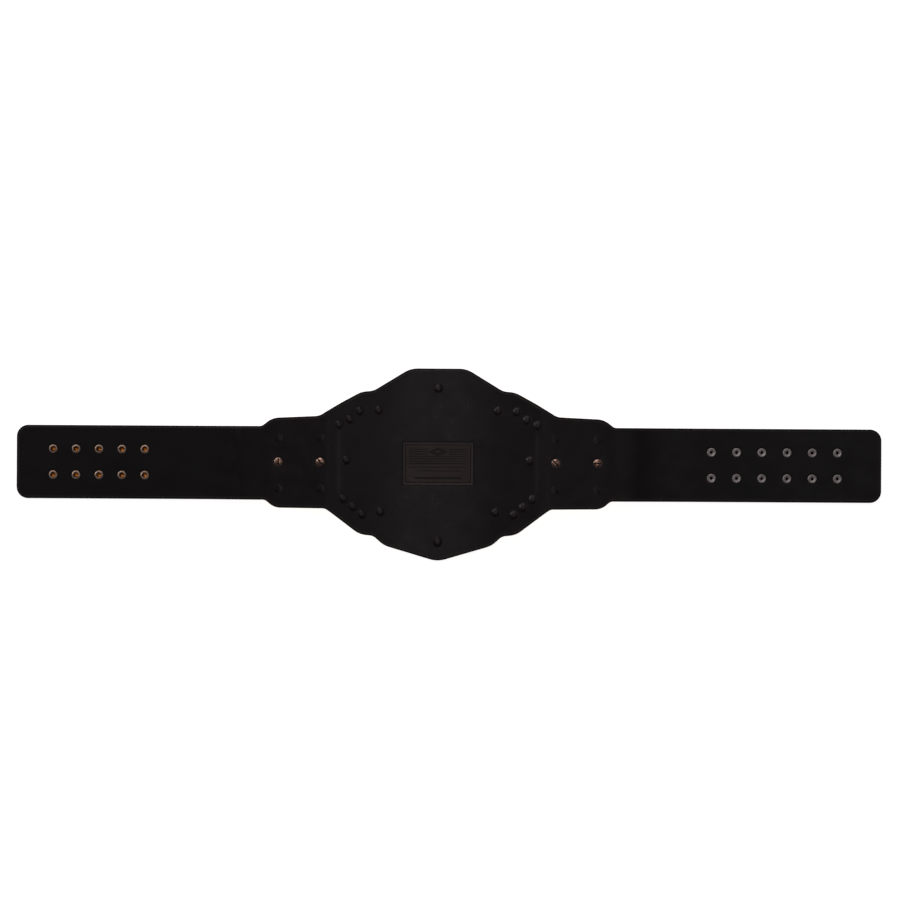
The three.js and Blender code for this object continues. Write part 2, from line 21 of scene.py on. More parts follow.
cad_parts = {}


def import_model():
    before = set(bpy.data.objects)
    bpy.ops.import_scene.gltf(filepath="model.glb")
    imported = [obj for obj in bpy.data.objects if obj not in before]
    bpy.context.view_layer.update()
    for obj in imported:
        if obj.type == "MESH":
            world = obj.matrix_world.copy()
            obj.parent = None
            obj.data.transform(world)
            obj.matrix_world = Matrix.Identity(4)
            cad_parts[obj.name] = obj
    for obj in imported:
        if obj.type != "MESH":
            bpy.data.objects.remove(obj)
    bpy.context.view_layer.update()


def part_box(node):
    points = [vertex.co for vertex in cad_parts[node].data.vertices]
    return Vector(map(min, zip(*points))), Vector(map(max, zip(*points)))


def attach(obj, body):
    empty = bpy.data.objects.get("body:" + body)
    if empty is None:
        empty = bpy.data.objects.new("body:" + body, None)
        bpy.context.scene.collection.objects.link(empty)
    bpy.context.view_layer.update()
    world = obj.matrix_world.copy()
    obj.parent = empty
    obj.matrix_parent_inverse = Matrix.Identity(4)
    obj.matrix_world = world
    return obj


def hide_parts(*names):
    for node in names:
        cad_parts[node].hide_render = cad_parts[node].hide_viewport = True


LOG = logging.getLogger("belt")
MM = 0.001
BODY = "root"

Heights = Callable[[np.ndarray], np.ndarray]


class Slot(Enum):
    """The record's material slots."""

    STRAP = "strap_leather"
    LINING = "lining_leather"
    PLATE = "plate_metal"
    SCREW = "screw_brass"
    SOCKET = "socket_brass"
    STUD = "stud_steel"


class Side(Enum):
    """The two long edges of the belt, by the sign of their y."""

    UPPER = 1
    LOWER = -1


def linear(hex_code: str) -> tuple[float, float, float, float]:
    """Turns an sRGB colour into a linear one.

    Args:
        hex_code: Six hex digits.

    Returns:
        Red, green, blue and an alpha of 1.
    """
    shares = [int(hex_code[i : i + 2], 16) / 255 for i in (0, 2, 4)]
    values = [c / 12.92 if c <= 0.04045 else ((c + 0.055) / 1.055) ** 2.4 for c in shares]
    return (*values, 1.0)


def smooth_step(low: float, high: float, values: np.ndarray) -> np.ndarray:
    """Rises smoothly from 0 to 1 between two values.

    Args:
        low: Where the rise starts.
        high: Where it ends.
        values: Where it is read.

    Returns:
        The share of the rise at each value.
    """
    share = np.clip((values - low) / (high - low), 0, 1)
    return share * share * (3 - 2 * share)


def hump(values: np.ndarray, centre: float, width: float) -> np.ndarray:
    """A bell curve of height 1 round a centre.

    Args:
        values: Where it is read.
        centre: Where it is highest.
        width: How far from the centre it has fallen to about a third.

    Returns:
        The curve's height at each value.
    """
    return np.exp(-(((values - centre) / width) ** 2))


@dataclass
class Lie:
    """How the belt lies: the turn of the strap's front face along it, on each side of the middle.

    The main plate is a shallow trough, the leather folds in the gap beside it, and each strap drops to
    rest on its snaps. The turns are in degrees.
    """

    socket_reach: float = 627.6
    stud_reach: float = 659.6
    level_half: float = 17.3
    fold_start: float = 155.8
    side_start: float = 164.0
    side_end: float = 248.0
    drop_length: float = 50.0
    landing_length: float = 95.0
    trough_turn: float = 14.0
    fold_turn: float = -15.5
    wing_turn: float = 3.0
    middle_stand: float = 5.5
    socket_stand: float = 2.0
    stud_stand: float = 3.9
    softness: float = 6.0
    soft_samples: int = 21
    steepest_drop: float = 60.0
    halvings: int = 50
    step: float = 0.25
    middle_y: float = 0.0
    s: np.ndarray = field(init=False)
    x: np.ndarray = field(init=False)
    z: np.ndarray = field(init=False)
    turn: np.ndarray = field(init=False)

    def __post_init__(self) -> None:
        """Works out the side view from one end to the other."""
        left = self._settled(self.socket_reach, self.socket_stand)
        right = self._settled(self.stud_reach, self.stud_stand)
        places = np.concatenate((-left[0][:0:-1], right[0]))
        slopes = np.concatenate((-left[1][:0:-1], right[1]))
        count = round((self.socket_reach + self.stud_reach) / self.step)
        self.s = np.linspace(-self.socket_reach, self.stud_reach, count + 1)
        spread = np.linspace(-self.softness, self.softness, self.soft_samples)
        soft = [np.interp(self.s + shift, places, slopes) for shift in spread]
        self.turn = np.radians(np.mean(soft, axis=0))
        self.x = self._summed(np.cos(self.turn))
        self.z = self._summed(np.sin(self.turn))
        self.x -= (self.x[0] + self.x[-1]) / 2
        self.z += self.middle_stand - np.interp(0, self.s, self.z)

    def _summed(self, rates: np.ndarray) -> np.ndarray:
        """Adds up rates along s, from 0 at the socket end."""
        steps = np.diff(self.s) * (rates[1:] + rates[:-1]) / 2
        return np.concatenate(([0.0], np.cumsum(steps)))

    def _slopes(self, reach: float, drop: float) -> tuple[np.ndarray, np.ndarray]:
        """The slopes of one side.

        Args:
            reach: The distance from the middle to the end.
            drop: The steepest slope of the strap's drop in degrees.

        Returns:
            Places along the side and the slope at each in degrees.
        """
        drop_end = self.side_end + self.drop_length
        wing = self.trough_turn + self.fold_turn
        table = (
            (0, 0),
            (self.level_half, 0),
            (self.fold_start, self.trough_turn),
            (self.side_start, wing),
            (self.side_end, wing + self.wing_turn),
            (drop_end, -drop),
            (drop_end + self.landing_length, 0),
            (reach, 0),
        )
        places, slopes = np.array(table, float).T
        return places, slopes

    def _settled(self, reach: float, stand: float) -> tuple[np.ndarray, np.ndarray]:
        """The slopes of one side whose end lies at its own height.

        Args:
            reach: The distance from the middle to the end.
            stand: The height of the strap's front face at the end.

        Returns:
            Places along the side and the slope at each in degrees.
        """
        gentle, steep = 0.0, self.steepest_drop
        for _ in range(self.halvings):
            drop = (gentle + steep) / 2
            places, slopes = self._slopes(reach, drop)
            s = np.linspace(0, reach, round(reach / self.step) + 1)
            rise = np.trapz(np.sin(np.radians(np.interp(s, places, slopes))), s)
            if self.middle_stand + rise > stand:
                gentle = drop
            else:
                steep = drop
        return self._slopes(reach, steep)

    def place(self, points: np.ndarray) -> np.ndarray:
        """Bends flat points into the frame.

        Args:
            points: Rows of s, y and n.

        Returns:
            Rows of x, y and z in metres.
        """
        s, y, n = points.T
        turn = np.interp(s, self.s, self.turn)
        x = np.interp(s, self.s, self.x) - n * np.sin(turn)
        z = np.interp(s, self.s, self.z) + n * np.cos(turn)
        return np.column_stack((x, y + self.middle_y, z)) * MM

    def seat(self, s: float, y: float) -> Matrix:
        """The place of a fitting on the strap's front face.

        Args:
            s: Its place along the belt.
            y: Its place across the belt.

        Returns:
            A matrix that takes the fitting's own metres into the frame, with its Z along n.
        """
        x, high, z = self.place(np.array([[s, y, 0.0]]))[0]
        turn = float(np.interp(s, self.s, self.turn))
        return Matrix.Translation((x, high, z)) @ Matrix.Rotation(-turn, 4, "Y")

    def spot(self, node: str) -> tuple[float, float]:
        """The place of a CAD node's middle on the flat leather.

        Args:
            node: The node's name.

        Returns:
            Its s and y.
        """
        low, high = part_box(node)
        middle = (low + high) / (2 * MM)
        return float(np.interp(middle.x, self.x, self.s)), middle.y - self.middle_y


@dataclass(frozen=True)
class Corner:
    """A corner of the outline outside the strap, as shares of the outline's sizes."""

    reach: float
    rise: float
    softness: float


@dataclass(frozen=True)
class Outline:
    """The leather's outline on the flat: a strap with a wide panel in the middle."""

    strap_width: float = 108.8
    end_radius: float = 17.0
    wing_reach: float = 261.3
    crown_height: float = 141.0
    point_depth: float = 144.8
    softness: float = 12.0
    upper: tuple[Corner, ...] = (
        Corner(0.159, 1, 0.9),
        Corner(0.369, 0.614, 0.5),
        Corner(0.438, 0.596, 0.6),
        Corner(0.574, 0.375, 1),
        Corner(0.677, 0.178, 0.5),
        Corner(0.941, 0.141, 0.8),
        Corner(1, 0, 0.3),
    )
    lower: tuple[Corner, ...] = (
        Corner(0, 1, 1),
        Corner(0.306, 0.74, 0.7),
        Corner(0.367, 0.582, 0.5),
        Corner(0.446, 0.56, 0.8),
        Corner(0.642, 0.137, 0.3),
        Corner(0.93, 0.128, 0.8),
        Corner(0.981, 0, 0.3),
    )

    def corners(self, side: Side, lie: Lie, margin: float = 0.0) -> np.ndarray:
        """The corners of one edge from end to end.

        Args:
            side: The upper or the lower edge.
            lie: Gives the ends of the belt.
            margin: How far the corners are moved into the leather.

        Returns:
            Rows of s, y and softness.
        """
        sign = side.value
        table = self.upper if side is Side.UPPER else self.lower
        apex = self.crown_height if side is Side.UPPER else self.point_depth
        strap = self.strap_width / 2
        right = [
            (row.reach * self.wing_reach, sign * (strap + row.rise * (apex - strap)), row.softness)
            for row in table
        ]
        left = [(-s, y, softness) for s, y, softness in reversed(right) if s > 0]
        ends = (-lie.socket_reach, sign * strap, 0), (lie.stud_reach, sign * strap, 0)
        rows = np.array([ends[0], *left, *right, ends[1]], float)
        rows[:, 2] *= self.softness
        along = np.diff(rows[:, :2], axis=0)
        along /= np.linalg.norm(along, axis=1)[:, None]
        inward = sign * np.column_stack((along[:, 1], -along[:, 0]))
        before = np.vstack((inward[:1], inward))
        after = np.vstack((inward, inward[-1:]))
        mitre = (before + after) / (1 + (before * after).sum(axis=1))[:, None]
        rows[:, :2] += margin * mitre
        return rows

    @staticmethod
    def rounded(rows: np.ndarray, pieces: int = 8) -> np.ndarray:
        """A line through corners, each rounded by a curve that starts and ends its softness away.

        Args:
            rows: Rows of s, y and softness.
            pieces: Straight pieces in each curve.

        Returns:
            Rows of s and y.
        """
        corners = rows[:, :2]
        line = [corners[0]]
        for i in range(1, len(rows) - 1):
            corner, softness = corners[i], rows[i, 2]
            back, forth = corners[i - 1] - corner, corners[i + 1] - corner
            entry = corner + back * softness / np.linalg.norm(back)
            leave = corner + forth * softness / np.linalg.norm(forth)
            for t in np.linspace(0, 1, pieces + 1):
                line.append((1 - t) ** 2 * entry + 2 * t * (1 - t) * corner + t * t * leave)
        line.append(corners[-1])
        return np.array(line)

    def leather_edge(self, side: Side, lie: Lie, pieces: int = 10) -> np.ndarray:
        """One edge of the leather with its rounded end corners.

        Args:
            side: The upper or the lower edge.
            lie: Gives the ends of the belt.
            pieces: Straight pieces in each end corner.

        Returns:
            Rows of s and y from the socket end to the stud end.
        """
        radius = self.end_radius
        middle = side.value * (self.strap_width / 2 - radius)
        angles = np.linspace(0, math.pi / 2, pieces + 1)
        turn = np.column_stack((np.cos(angles), side.value * np.sin(angles))) * radius
        socket_arc = turn * (-1, 1) + (-lie.socket_reach + radius, middle)
        stud_arc = turn[::-1] + (lie.stud_reach - radius, middle)
        edge = self.rounded(self.corners(side, lie))[1:-1]
        return np.vstack((socket_arc, edge, stud_arc))


@dataclass(frozen=True)
class Disc:
    """A round place on the flat leather."""

    s: float
    y: float
    radius: float

    def rim(self, sides: int, radius: float | None = None) -> np.ndarray:
        """Points round the disc.

        Args:
            sides: How many.
            radius: Their distance from the middle, or None for the disc's own radius.

        Returns:
            Rows of s and y.
        """
        angles = np.arange(sides) * 2 * math.pi / sides
        reach = self.radius if radius is None else radius
        return np.column_stack((self.s + reach * np.cos(angles), self.y + reach * np.sin(angles)))

    def reach(self, points: np.ndarray) -> np.ndarray:
        """The distance of each point from the disc's middle."""
        return np.hypot(points[:, 0] - self.s, points[:, 1] - self.y)


class Region:
    """A flat region between two edges that each have one y for every s."""

    SHORTEST_PIECE = 1e-6
    NEAR_POINTS = 3
    RING_CLEARANCE = 0.97

    def __init__(self, upper: np.ndarray, lower: np.ndarray, step: float) -> None:
        """Joins the edges into a loop.

        Args:
            upper: The upper edge from left to right.
            lower: The lower edge from left to right.
            step: The longest piece of the loop.
        """
        self.upper, self.lower = upper, lower
        corners = np.vstack((lower, upper[::-1]))
        loop = []
        for start, end in zip(corners, np.roll(corners, -1, axis=0)):
            length = np.linalg.norm(end - start)
            if length > self.SHORTEST_PIECE:
                pieces = math.ceil(length / step)
                loop.extend(start + (end - start) * i / pieces for i in range(pieces))
        self.loop = np.array(loop)
        self.tree = KDTree(len(loop))
        for i, (s, y) in enumerate(loop):
            self.tree.insert((s, y, 0), i)
        self.tree.balance()

    def holds(self, points: np.ndarray) -> np.ndarray:
        """Says which points lie inside the region.

        Args:
            points: Rows of s and y.

        Returns:
            True for each point inside.
        """
        s, y = points.T
        inside = (s > self.upper[:, 0].min()) & (s < self.upper[:, 0].max())
        return inside & (y < np.interp(s, *self.upper.T)) & (y > np.interp(s, *self.lower.T))

    def depth(self, points: np.ndarray) -> np.ndarray:
        """The distance of each point from the loop.

        Args:
            points: Rows of s and y.

        Returns:
            The distances.
        """
        found = (self.tree.find_n((s, y, 0), self.NEAR_POINTS) for s, y in points)
        near = np.array([[i for _, i, _ in row] for row in found])
        best = np.full(len(points), np.inf)
        count = len(self.loop)
        for first in (*near.T, *((near - 1) % count).T):
            start = self.loop[first]
            along = self.loop[(first + 1) % count] - start
            to_point = points - start
            share = (to_point * along).sum(axis=1) / (along * along).sum(axis=1)
            foot = start + np.clip(share, 0, 1)[:, None] * along
            best = np.minimum(best, np.linalg.norm(points - foot, axis=1))
        return best

    def ring(self, distance: float) -> np.ndarray:
        """Points that run inside the loop at a distance.

        Args:
            distance: How far inside.

        Returns:
            Rows of s and y, without those that a tight corner brings nearer to the edge.
        """
        along = np.roll(self.loop, -1, axis=0) - np.roll(self.loop, 1, axis=0)
        along /= np.linalg.norm(along, axis=1)[:, None]
        points = self.loop + distance * np.column_stack((-along[:, 1], along[:, 0]))
        points = points[self.holds(points)]
        return points[self.depth(points) > self.RING_CLEARANCE * distance]

    def field(self, spacing: float) -> np.ndarray:
        """Evenly spread points inside the region.

        Args:
            spacing: The distance between them.

        Returns:
            Rows of s and y.
        """
        row_gap = spacing * math.sqrt(3) / 2
        columns = np.arange(self.upper[:, 0].min(), self.upper[:, 0].max(), spacing)
        rows = np.arange(self.lower[:, 1].min(), self.upper[:, 1].max(), row_gap)
        s, y = np.meshgrid(columns, rows)
        s = s + spacing / 2 * (np.arange(len(rows)) % 2)[:, None]
        points = np.column_stack((s.ravel(), y.ravel()))
        return points[self.holds(points)]


@dataclass
class Slab:
    """A closed solid over a region of the flat leather, with round holes through it."""

    region: Region
    holes: Sequence[Disc] = ()
    hole_sides: int = 24
    hole_margin: float = 0.25
    hole_share: float = 0.99
    crowding: float = 0.6
    same_place: float = 1e-5
    sliver_area: float = 1e-7

    def _loops(self) -> list[np.ndarray]:
        """The region's loop and then the holes' rims."""
        return [self.region.loop, *(hole.rim(self.hole_sides) for hole in self.holes)]

    def _kept(self, details: Sequence[np.ndarray], spacing: float) -> np.ndarray:
        """The points that one face needs inside its loops.

        Args:
            details: Points that its relief needs.
            spacing: The distance between the points that fill the rest.

        Returns:
            Rows of s and y.
        """
        detail = np.vstack([np.empty((0, 2)), *details])
        detail = detail[self.region.holds(detail)]
        tree = KDTree(len(detail) + len(self.region.loop))
        for i, (s, y) in enumerate((*detail, *self.region.loop)):
            tree.insert((s, y, 0), i)
        tree.balance()
        rest = self.region.field(spacing)
        alone = [tree.find((s, y, 0))[2] > self.crowding * spacing for s, y in rest]
        points = np.vstack((detail, rest[alone]))
        clear = np.ones(len(points), bool)
        for hole in self.holes:
            clear &= hole.reach(points) > hole.radius + self.hole_margin
        return points[clear]

    def _face(self, details: Sequence[np.ndarray], spacing: float) -> tuple[np.ndarray, np.ndarray]:
        """Fills one face with triangles.

        Args:
            details: Points that its relief needs.
            spacing: The distance between the other points.

        Returns:
            The points, with those of the loops first, and the corners of each triangle, anticlockwise.
        """
        loops = self._loops()
        points = np.vstack((*loops, self._kept(details, spacing)))
        edges, first = [], 0
        for loop in loops:
            count = len(loop)
            edges.extend((first + i, first + (i + 1) % count) for i in range(count))
            first += count
        corners = [Vector(point) for point in points]
        _, _, cells, origins, _, _ = delaunay_2d_cdt(corners, edges, [], 0, self.same_place, True)
        source = np.array([origin[0] if origin else -1 for origin in origins])
        triangles = source[np.array(cells)]
        a, b, c = (points[triangles[:, i]] for i in range(3))
        middles = (a + b + c) / 3
        area = np.cross(b - a, c - a)
        inside = self.region.holds(middles) & (triangles.min(axis=1) >= 0)
        inside &= np.abs(area) > self.sliver_area
        for hole in self.holes:
            inside &= hole.reach(middles) > self.hole_share * hole.radius
        flipped = area < 0
        triangles[flipped] = triangles[flipped][:, ::-1]
        return points, triangles[inside]

    def mesh(
        self,
        name: str,
        lie: Lie,
        back: Heights,
        front: Heights,
        back_details: Sequence[np.ndarray] = (),
        front_details: Sequence[np.ndarray] = (),
        back_spacing: float = 4.0,
        front_spacing: float = 6.0,
        masks: dict[str, Heights] | None = None,
    ) -> bpy.types.Mesh:
        """Builds the solid and bends it.

        Args:
            name: The mesh's name.
            lie: Bends the solid.
            back: Gives n on the face towards the wearer.
            front: Gives n on the face away from the wearer.
            back_details: Points that the back's relief needs.
            front_details: Points that the front's relief needs.
            back_spacing: The distance between the back's other points.
            front_spacing: The distance between the front's other points.
            masks: Values for the finish that are kept on each corner, by name.

        Returns:
            The bent mesh.
        """
        back_points, back_faces = self._face(back_details, back_spacing)
        front_points, front_faces = self._face(front_details, front_spacing)
        shift = len(back_points)
        walls, first = [], 0
        for turn, loop in enumerate(self._loops()):
            here = first + np.arange(len(loop))
            there = first + (np.arange(len(loop)) + 1) % len(loop)
            if turn:
                here, there = there, here
            walls.append(np.column_stack((here, here + shift, there + shift, there)))
            first += len(loop)
        flat = np.vstack((back_points, front_points))
        n = np.concatenate((back(back_points), front(front_points)))
        turned_over = front_faces[:, ::-1] + shift
        faces = [*back_faces.tolist(), *turned_over.tolist(), *np.vstack(walls).tolist()]
        mesh = bpy.data.meshes.new(name)
        mesh.from_pydata(lie.place(np.column_stack((flat, n))).tolist(), [], faces)
        for mask, values in (masks or {}).items():
            attribute = mesh.attributes.new(mask, "FLOAT", "POINT")
            attribute.data.foreach_set("value", values(flat).astype(np.float32))
        return smoothed(mesh)


def smoothed(mesh: bpy.types.Mesh, sharpest: float = 38.0) -> bpy.types.Mesh:
    """Shades a mesh smooth but for its sharp edges.

    Args:
        mesh: The mesh.
        sharpest: The turn in degrees above which an edge stays sharp.

    Returns:
        The same mesh.
    """
    mesh.validate()
    mesh.shade_smooth()
    mesh.set_sharp_from_angle(angle=math.radians(sharpest))
    mesh.update()
    return mesh


def add_node(
    tree: bpy.types.NodeTree,
    kind: str,
    inputs: dict[str | int, object] | None = None,
    **settings: object,
) -> bpy.types.Node:
    """Adds a node with its settings, values and links.

    Args:
        tree: The material's nodes.
        kind: The node's type.
        inputs: A value or an output socket for each input, by name or number.
        **settings: The node's own properties.

    Returns:
        The node.
    """
    node = tree.nodes.new(kind)
    for name, value in settings.items():
        setattr(node, name, value)
    for name, value in (inputs or {}).items():
        if isinstance(value, bpy.types.NodeSocket):
            tree.links.new(value, node.inputs[name])
        else:
            node.inputs[name].default_value = value
    return node


def new_material(name: str) -> tuple[bpy.types.Material, bpy.types.NodeTree]:
    """Starts a material without nodes.

    Args:
        name: The finish, in plain words.

    Returns:
        The material and its nodes.
    """
    material = bpy.data.materials.new(name)
    material.use_nodes = True
    material.node_tree.nodes.clear()
    return material, material.node_tree


def noise(
    tree: bpy.types.NodeTree, size_mm: float, detail: float, roughness: float = 0.5
) -> bpy.types.NodeSocket:
    """Adds a cloudy pattern that stays with the piece.

    Args:
        tree: The material's nodes.
        size_mm: The size of its clouds.
        detail: How many times finer clouds are laid over them.
        roughness: How strong the finer ones are.

    Returns:
        Its value, about 0 to 1.
    """
    place = add_node(tree, "ShaderNodeTexCoord").outputs["Object"]
    inputs = {"Vector": place, "Scale": 1 / (size_mm * MM), "Detail": detail, "Roughness": roughness}
    return add_node(tree, "ShaderNodeTexNoise", inputs).outputs["Fac"]


def ranged(
    tree: bpy.types.NodeTree,
    value: bpy.types.NodeSocket,
    source: tuple[float, float] = (0.0, 1.0),
    target: tuple[float, float] = (0.0, 1.0),
) -> bpy.types.NodeSocket:
    """Moves a value from one range into another.

    Args:
        tree: The nodes.
        value: The value.
        source: The range that it comes from.
        target: The range that it is clamped to.

    Returns:
        The new value.
    """
    inputs = {
        "Value": value,
        "From Min": source[0],
        "From Max": source[1],
        "To Min": target[0],
        "To Max": target[1],
    }
    return add_node(tree, "ShaderNodeMapRange", inputs).outputs["Result"]


def bumped(
    tree: bpy.types.NodeTree, height: bpy.types.NodeSocket, height_mm: float
) -> bpy.types.NodeSocket:
    """Turns a height into a normal.

    Args:
        tree: The material's nodes.
        height: The height, 0 to 1.
        height_mm: The highest it stands.

    Returns:
        The normal.
    """
    inputs = {"Strength": 0.5, "Distance": height_mm * MM, "Height": height}
    return add_node(tree, "ShaderNodeBump", inputs).outputs["Normal"]


def surfaced(tree: bpy.types.NodeTree, inputs: dict[str | int, object]) -> None:
    """Ends a material in a principled shader.

    Args:
        tree: The material's nodes.
        inputs: The shader's inputs.
    """
    shader = add_node(tree, "ShaderNodeBsdfPrincipled", inputs).outputs["BSDF"]
    add_node(tree, "ShaderNodeOutputMaterial", {"Surface": shader})


@dataclass(frozen=True)
class DyedLeather:
    """Chrome-tanned cowhide, drum-dyed black and pressed smooth, with a thin acrylic topcoat.

    The dye is near black with a faint warm cast where it is thin. The topcoat gives a low, broad shine,
    which handling has made duller in streaks and which the hide's grain breaks up.
    """

    name: str
    dye: str = "0d0b0e"
    thin_dye: str = "151215"
    # A paler tone that paints a highlight on the raised places.
    painted_highlight: str = "4d4546"
    label: str = "322826"
    # The edge dressing's near black, which on the lining also paints shade in the pressed lines and
    # folds.
    dressing_and_shade: str = "040404"
    patch_mm: float = 90.0
    patch_range: tuple[float, float] = (0.2, 0.8)
    streak_mm: float = 16.0
    streak_range: tuple[float, float] = (0.1, 0.9)
    grain_mm: float = 1.3
    grain_height_mm: float = 0.025
    roughness: tuple[float, float] = (0.24, 0.36)
    edge_roughness: float = 0.75
    specular: float = 0.37

    def material(self) -> bpy.types.Material:
        """Builds the finish as nodes.

        Returns:
            The material. It reads three masks of the mesh: a painted highlight on raised places, the
            label, and the edge, which is the edge dressing and, on the lining, painted shade too.
        """
        material, tree = new_material(self.name)
        masks = {
            name: add_node(tree, "ShaderNodeAttribute", attribute_name=name).outputs["Fac"]
            for name in ("painted_highlight", "label", "edge")
        }
        thinned = ranged(tree, noise(tree, self.patch_mm, detail=2.0), self.patch_range)
        colour = linear(self.dye)
        for share, tint in (
            (thinned, self.thin_dye),
            (masks["label"], self.label),
            # Painted highlight on the raised places.
            (masks["painted_highlight"], self.painted_highlight),
            # The edge dressing, and on the lining painted shade in the pressed lines and folds.
            (masks["edge"], self.dressing_and_shade),
        ):
            inputs = {0: share, 6: colour, 7: linear(tint)}
            colour = add_node(tree, "ShaderNodeMix", inputs, data_type="RGBA").outputs[2]
        streaks = noise(tree, self.streak_mm, detail=1.0, roughness=0.4)
        dull = ranged(tree, streaks, self.streak_range, self.roughness)
        inputs = {0: masks["edge"], 2: dull, 3: self.edge_roughness}
        roughness = add_node(tree, "ShaderNodeMix", inputs, data_type="FLOAT").outputs[0]
        # The hide's pores are finer than this. They are drawn as coarse as they need to be to show.
        place = add_node(tree, "ShaderNodeTexCoord").outputs["Object"]
        inputs = {"Vector": place, "Scale": 1 / (self.grain_mm * MM), "Smoothness": 0.4}
        grain = add_node(tree, "ShaderNodeTexVoronoi", inputs, feature="SMOOTH_F1").outputs["Distance"]
        surfaced(
            tree,
            {
                "Base Color": colour,
                "Roughness": roughness,
                "Specular IOR Level": self.specular,
                "Normal": bumped(tree, grain, self.grain_height_mm),
            },
        )
        return material


@dataclass(frozen=True)
class MetalFinish:
    """A metal surface with its colour variation and the marks of how it was made."""

    name: str
    clean: str
    tarnished: str
    patch_mm: float = 3.0
    patch_range: tuple[float, float] = (0.35, 0.7)
    mark_mm: float = 0.5
    mark_height_mm: float = 0.01
    roughness: tuple[float, float] = (0.2, 0.35)

    def material(self) -> bpy.types.Material:
        """Builds the finish as nodes.

        Returns:
            The material.
        """
        material, tree = new_material(self.name)
        patches = noise(tree, self.patch_mm, detail=3.0)
        inputs = {
            0: ranged(tree, patches, self.patch_range),
            6: linear(self.clean),
            7: linear(self.tarnished),
        }
        colour = add_node(tree, "ShaderNodeMix", inputs, data_type="RGBA").outputs[2]
        surfaced(
            tree,
            {
                "Base Color": colour,
                "Metallic": 1.0,
                "Roughness": ranged(tree, patches, target=self.roughness),
                "Normal": bumped(tree, noise(tree, self.mark_mm, detail=2.0), self.mark_height_mm),
            },
        )
        return material


# Cast zinc alloy, gold-plated: the rim and medallion are polished, and the plating has a satin bloom.
GOLD_PLATE = MetalFinish("gold_plated_casting", "c9a04e", "a67c34", patch_mm=14, mark_mm=1.2)
# Rose brass, turned on a lathe and polished: warm and pinkish, with a bright dome.
ROSE_BRASS = MetalFinish("turned_rose_brass", "d2b09e", "ae8c7a", patch_mm=5, roughness=(0.22, 0.3))
# Near-black brass that paints shade in the screws' slots and on the sockets' cup walls.
PAINTED_SHADE_BRASS = MetalFinish("brass_painted_shade", "2a1d16", "15100c", roughness=(0.5, 0.7))
# Brass with an antique bath, stamped: tan-grey on what shows, with soft dull patches.
ANTIQUE_BRASS = MetalFinish(
    "antique_stamped_brass", "ccb29c", "9a867a", patch_mm=4, roughness=(0.38, 0.5)
)
# Bare brass inside the snaps, where no bath reached: orange and shiny.
BARE_BRASS = MetalFinish("bare_stamped_brass", "f59a3c", "c8701f", roughness=(0.25, 0.36))
# Steel, dark nickel-plated and tumbled: grey and fairly dull.
DARK_NICKEL = MetalFinish(
    "dark_nickel_plated_steel", "cac5c3", "aca6a4", patch_mm=4, roughness=(0.42, 0.56)
)
# Near-black steel that paints shade down the eyelets' holes.
PAINTED_SHADE_STEEL = MetalFinish("steel_painted_shade", "141211", "0a0909", roughness=(0.6, 0.8))


def dressed(
    name: str,
    mesh: bpy.types.Mesh,
    finishes: Sequence[bpy.types.Material],
    nodes: Sequence[str],
) -> bpy.types.Object:
    """Makes a piece of the belt out of a mesh.

    Args:
        name: The piece's name.
        mesh: Its mesh.
        finishes: Its materials. They are put on the mesh where it has none yet.
        nodes: The CAD nodes that it stands for.

    Returns:
        The piece.
    """
    if not mesh.materials:
        for finish in finishes:
            mesh.materials.append(finish)
    piece = bpy.data.objects.new(name, mesh)
    bpy.context.scene.collection.objects.link(piece)
    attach(piece, BODY)
    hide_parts(*nodes)
    LOG.info("%s: %d faces", name, len(mesh.polygons))
    return piece


@dataclass(frozen=True)
class Post:
    """A covered fastener on both sides of the belt, as shares of the main plate's reach and height."""

    reach: float
    height: float
    stretch: float = 1.0


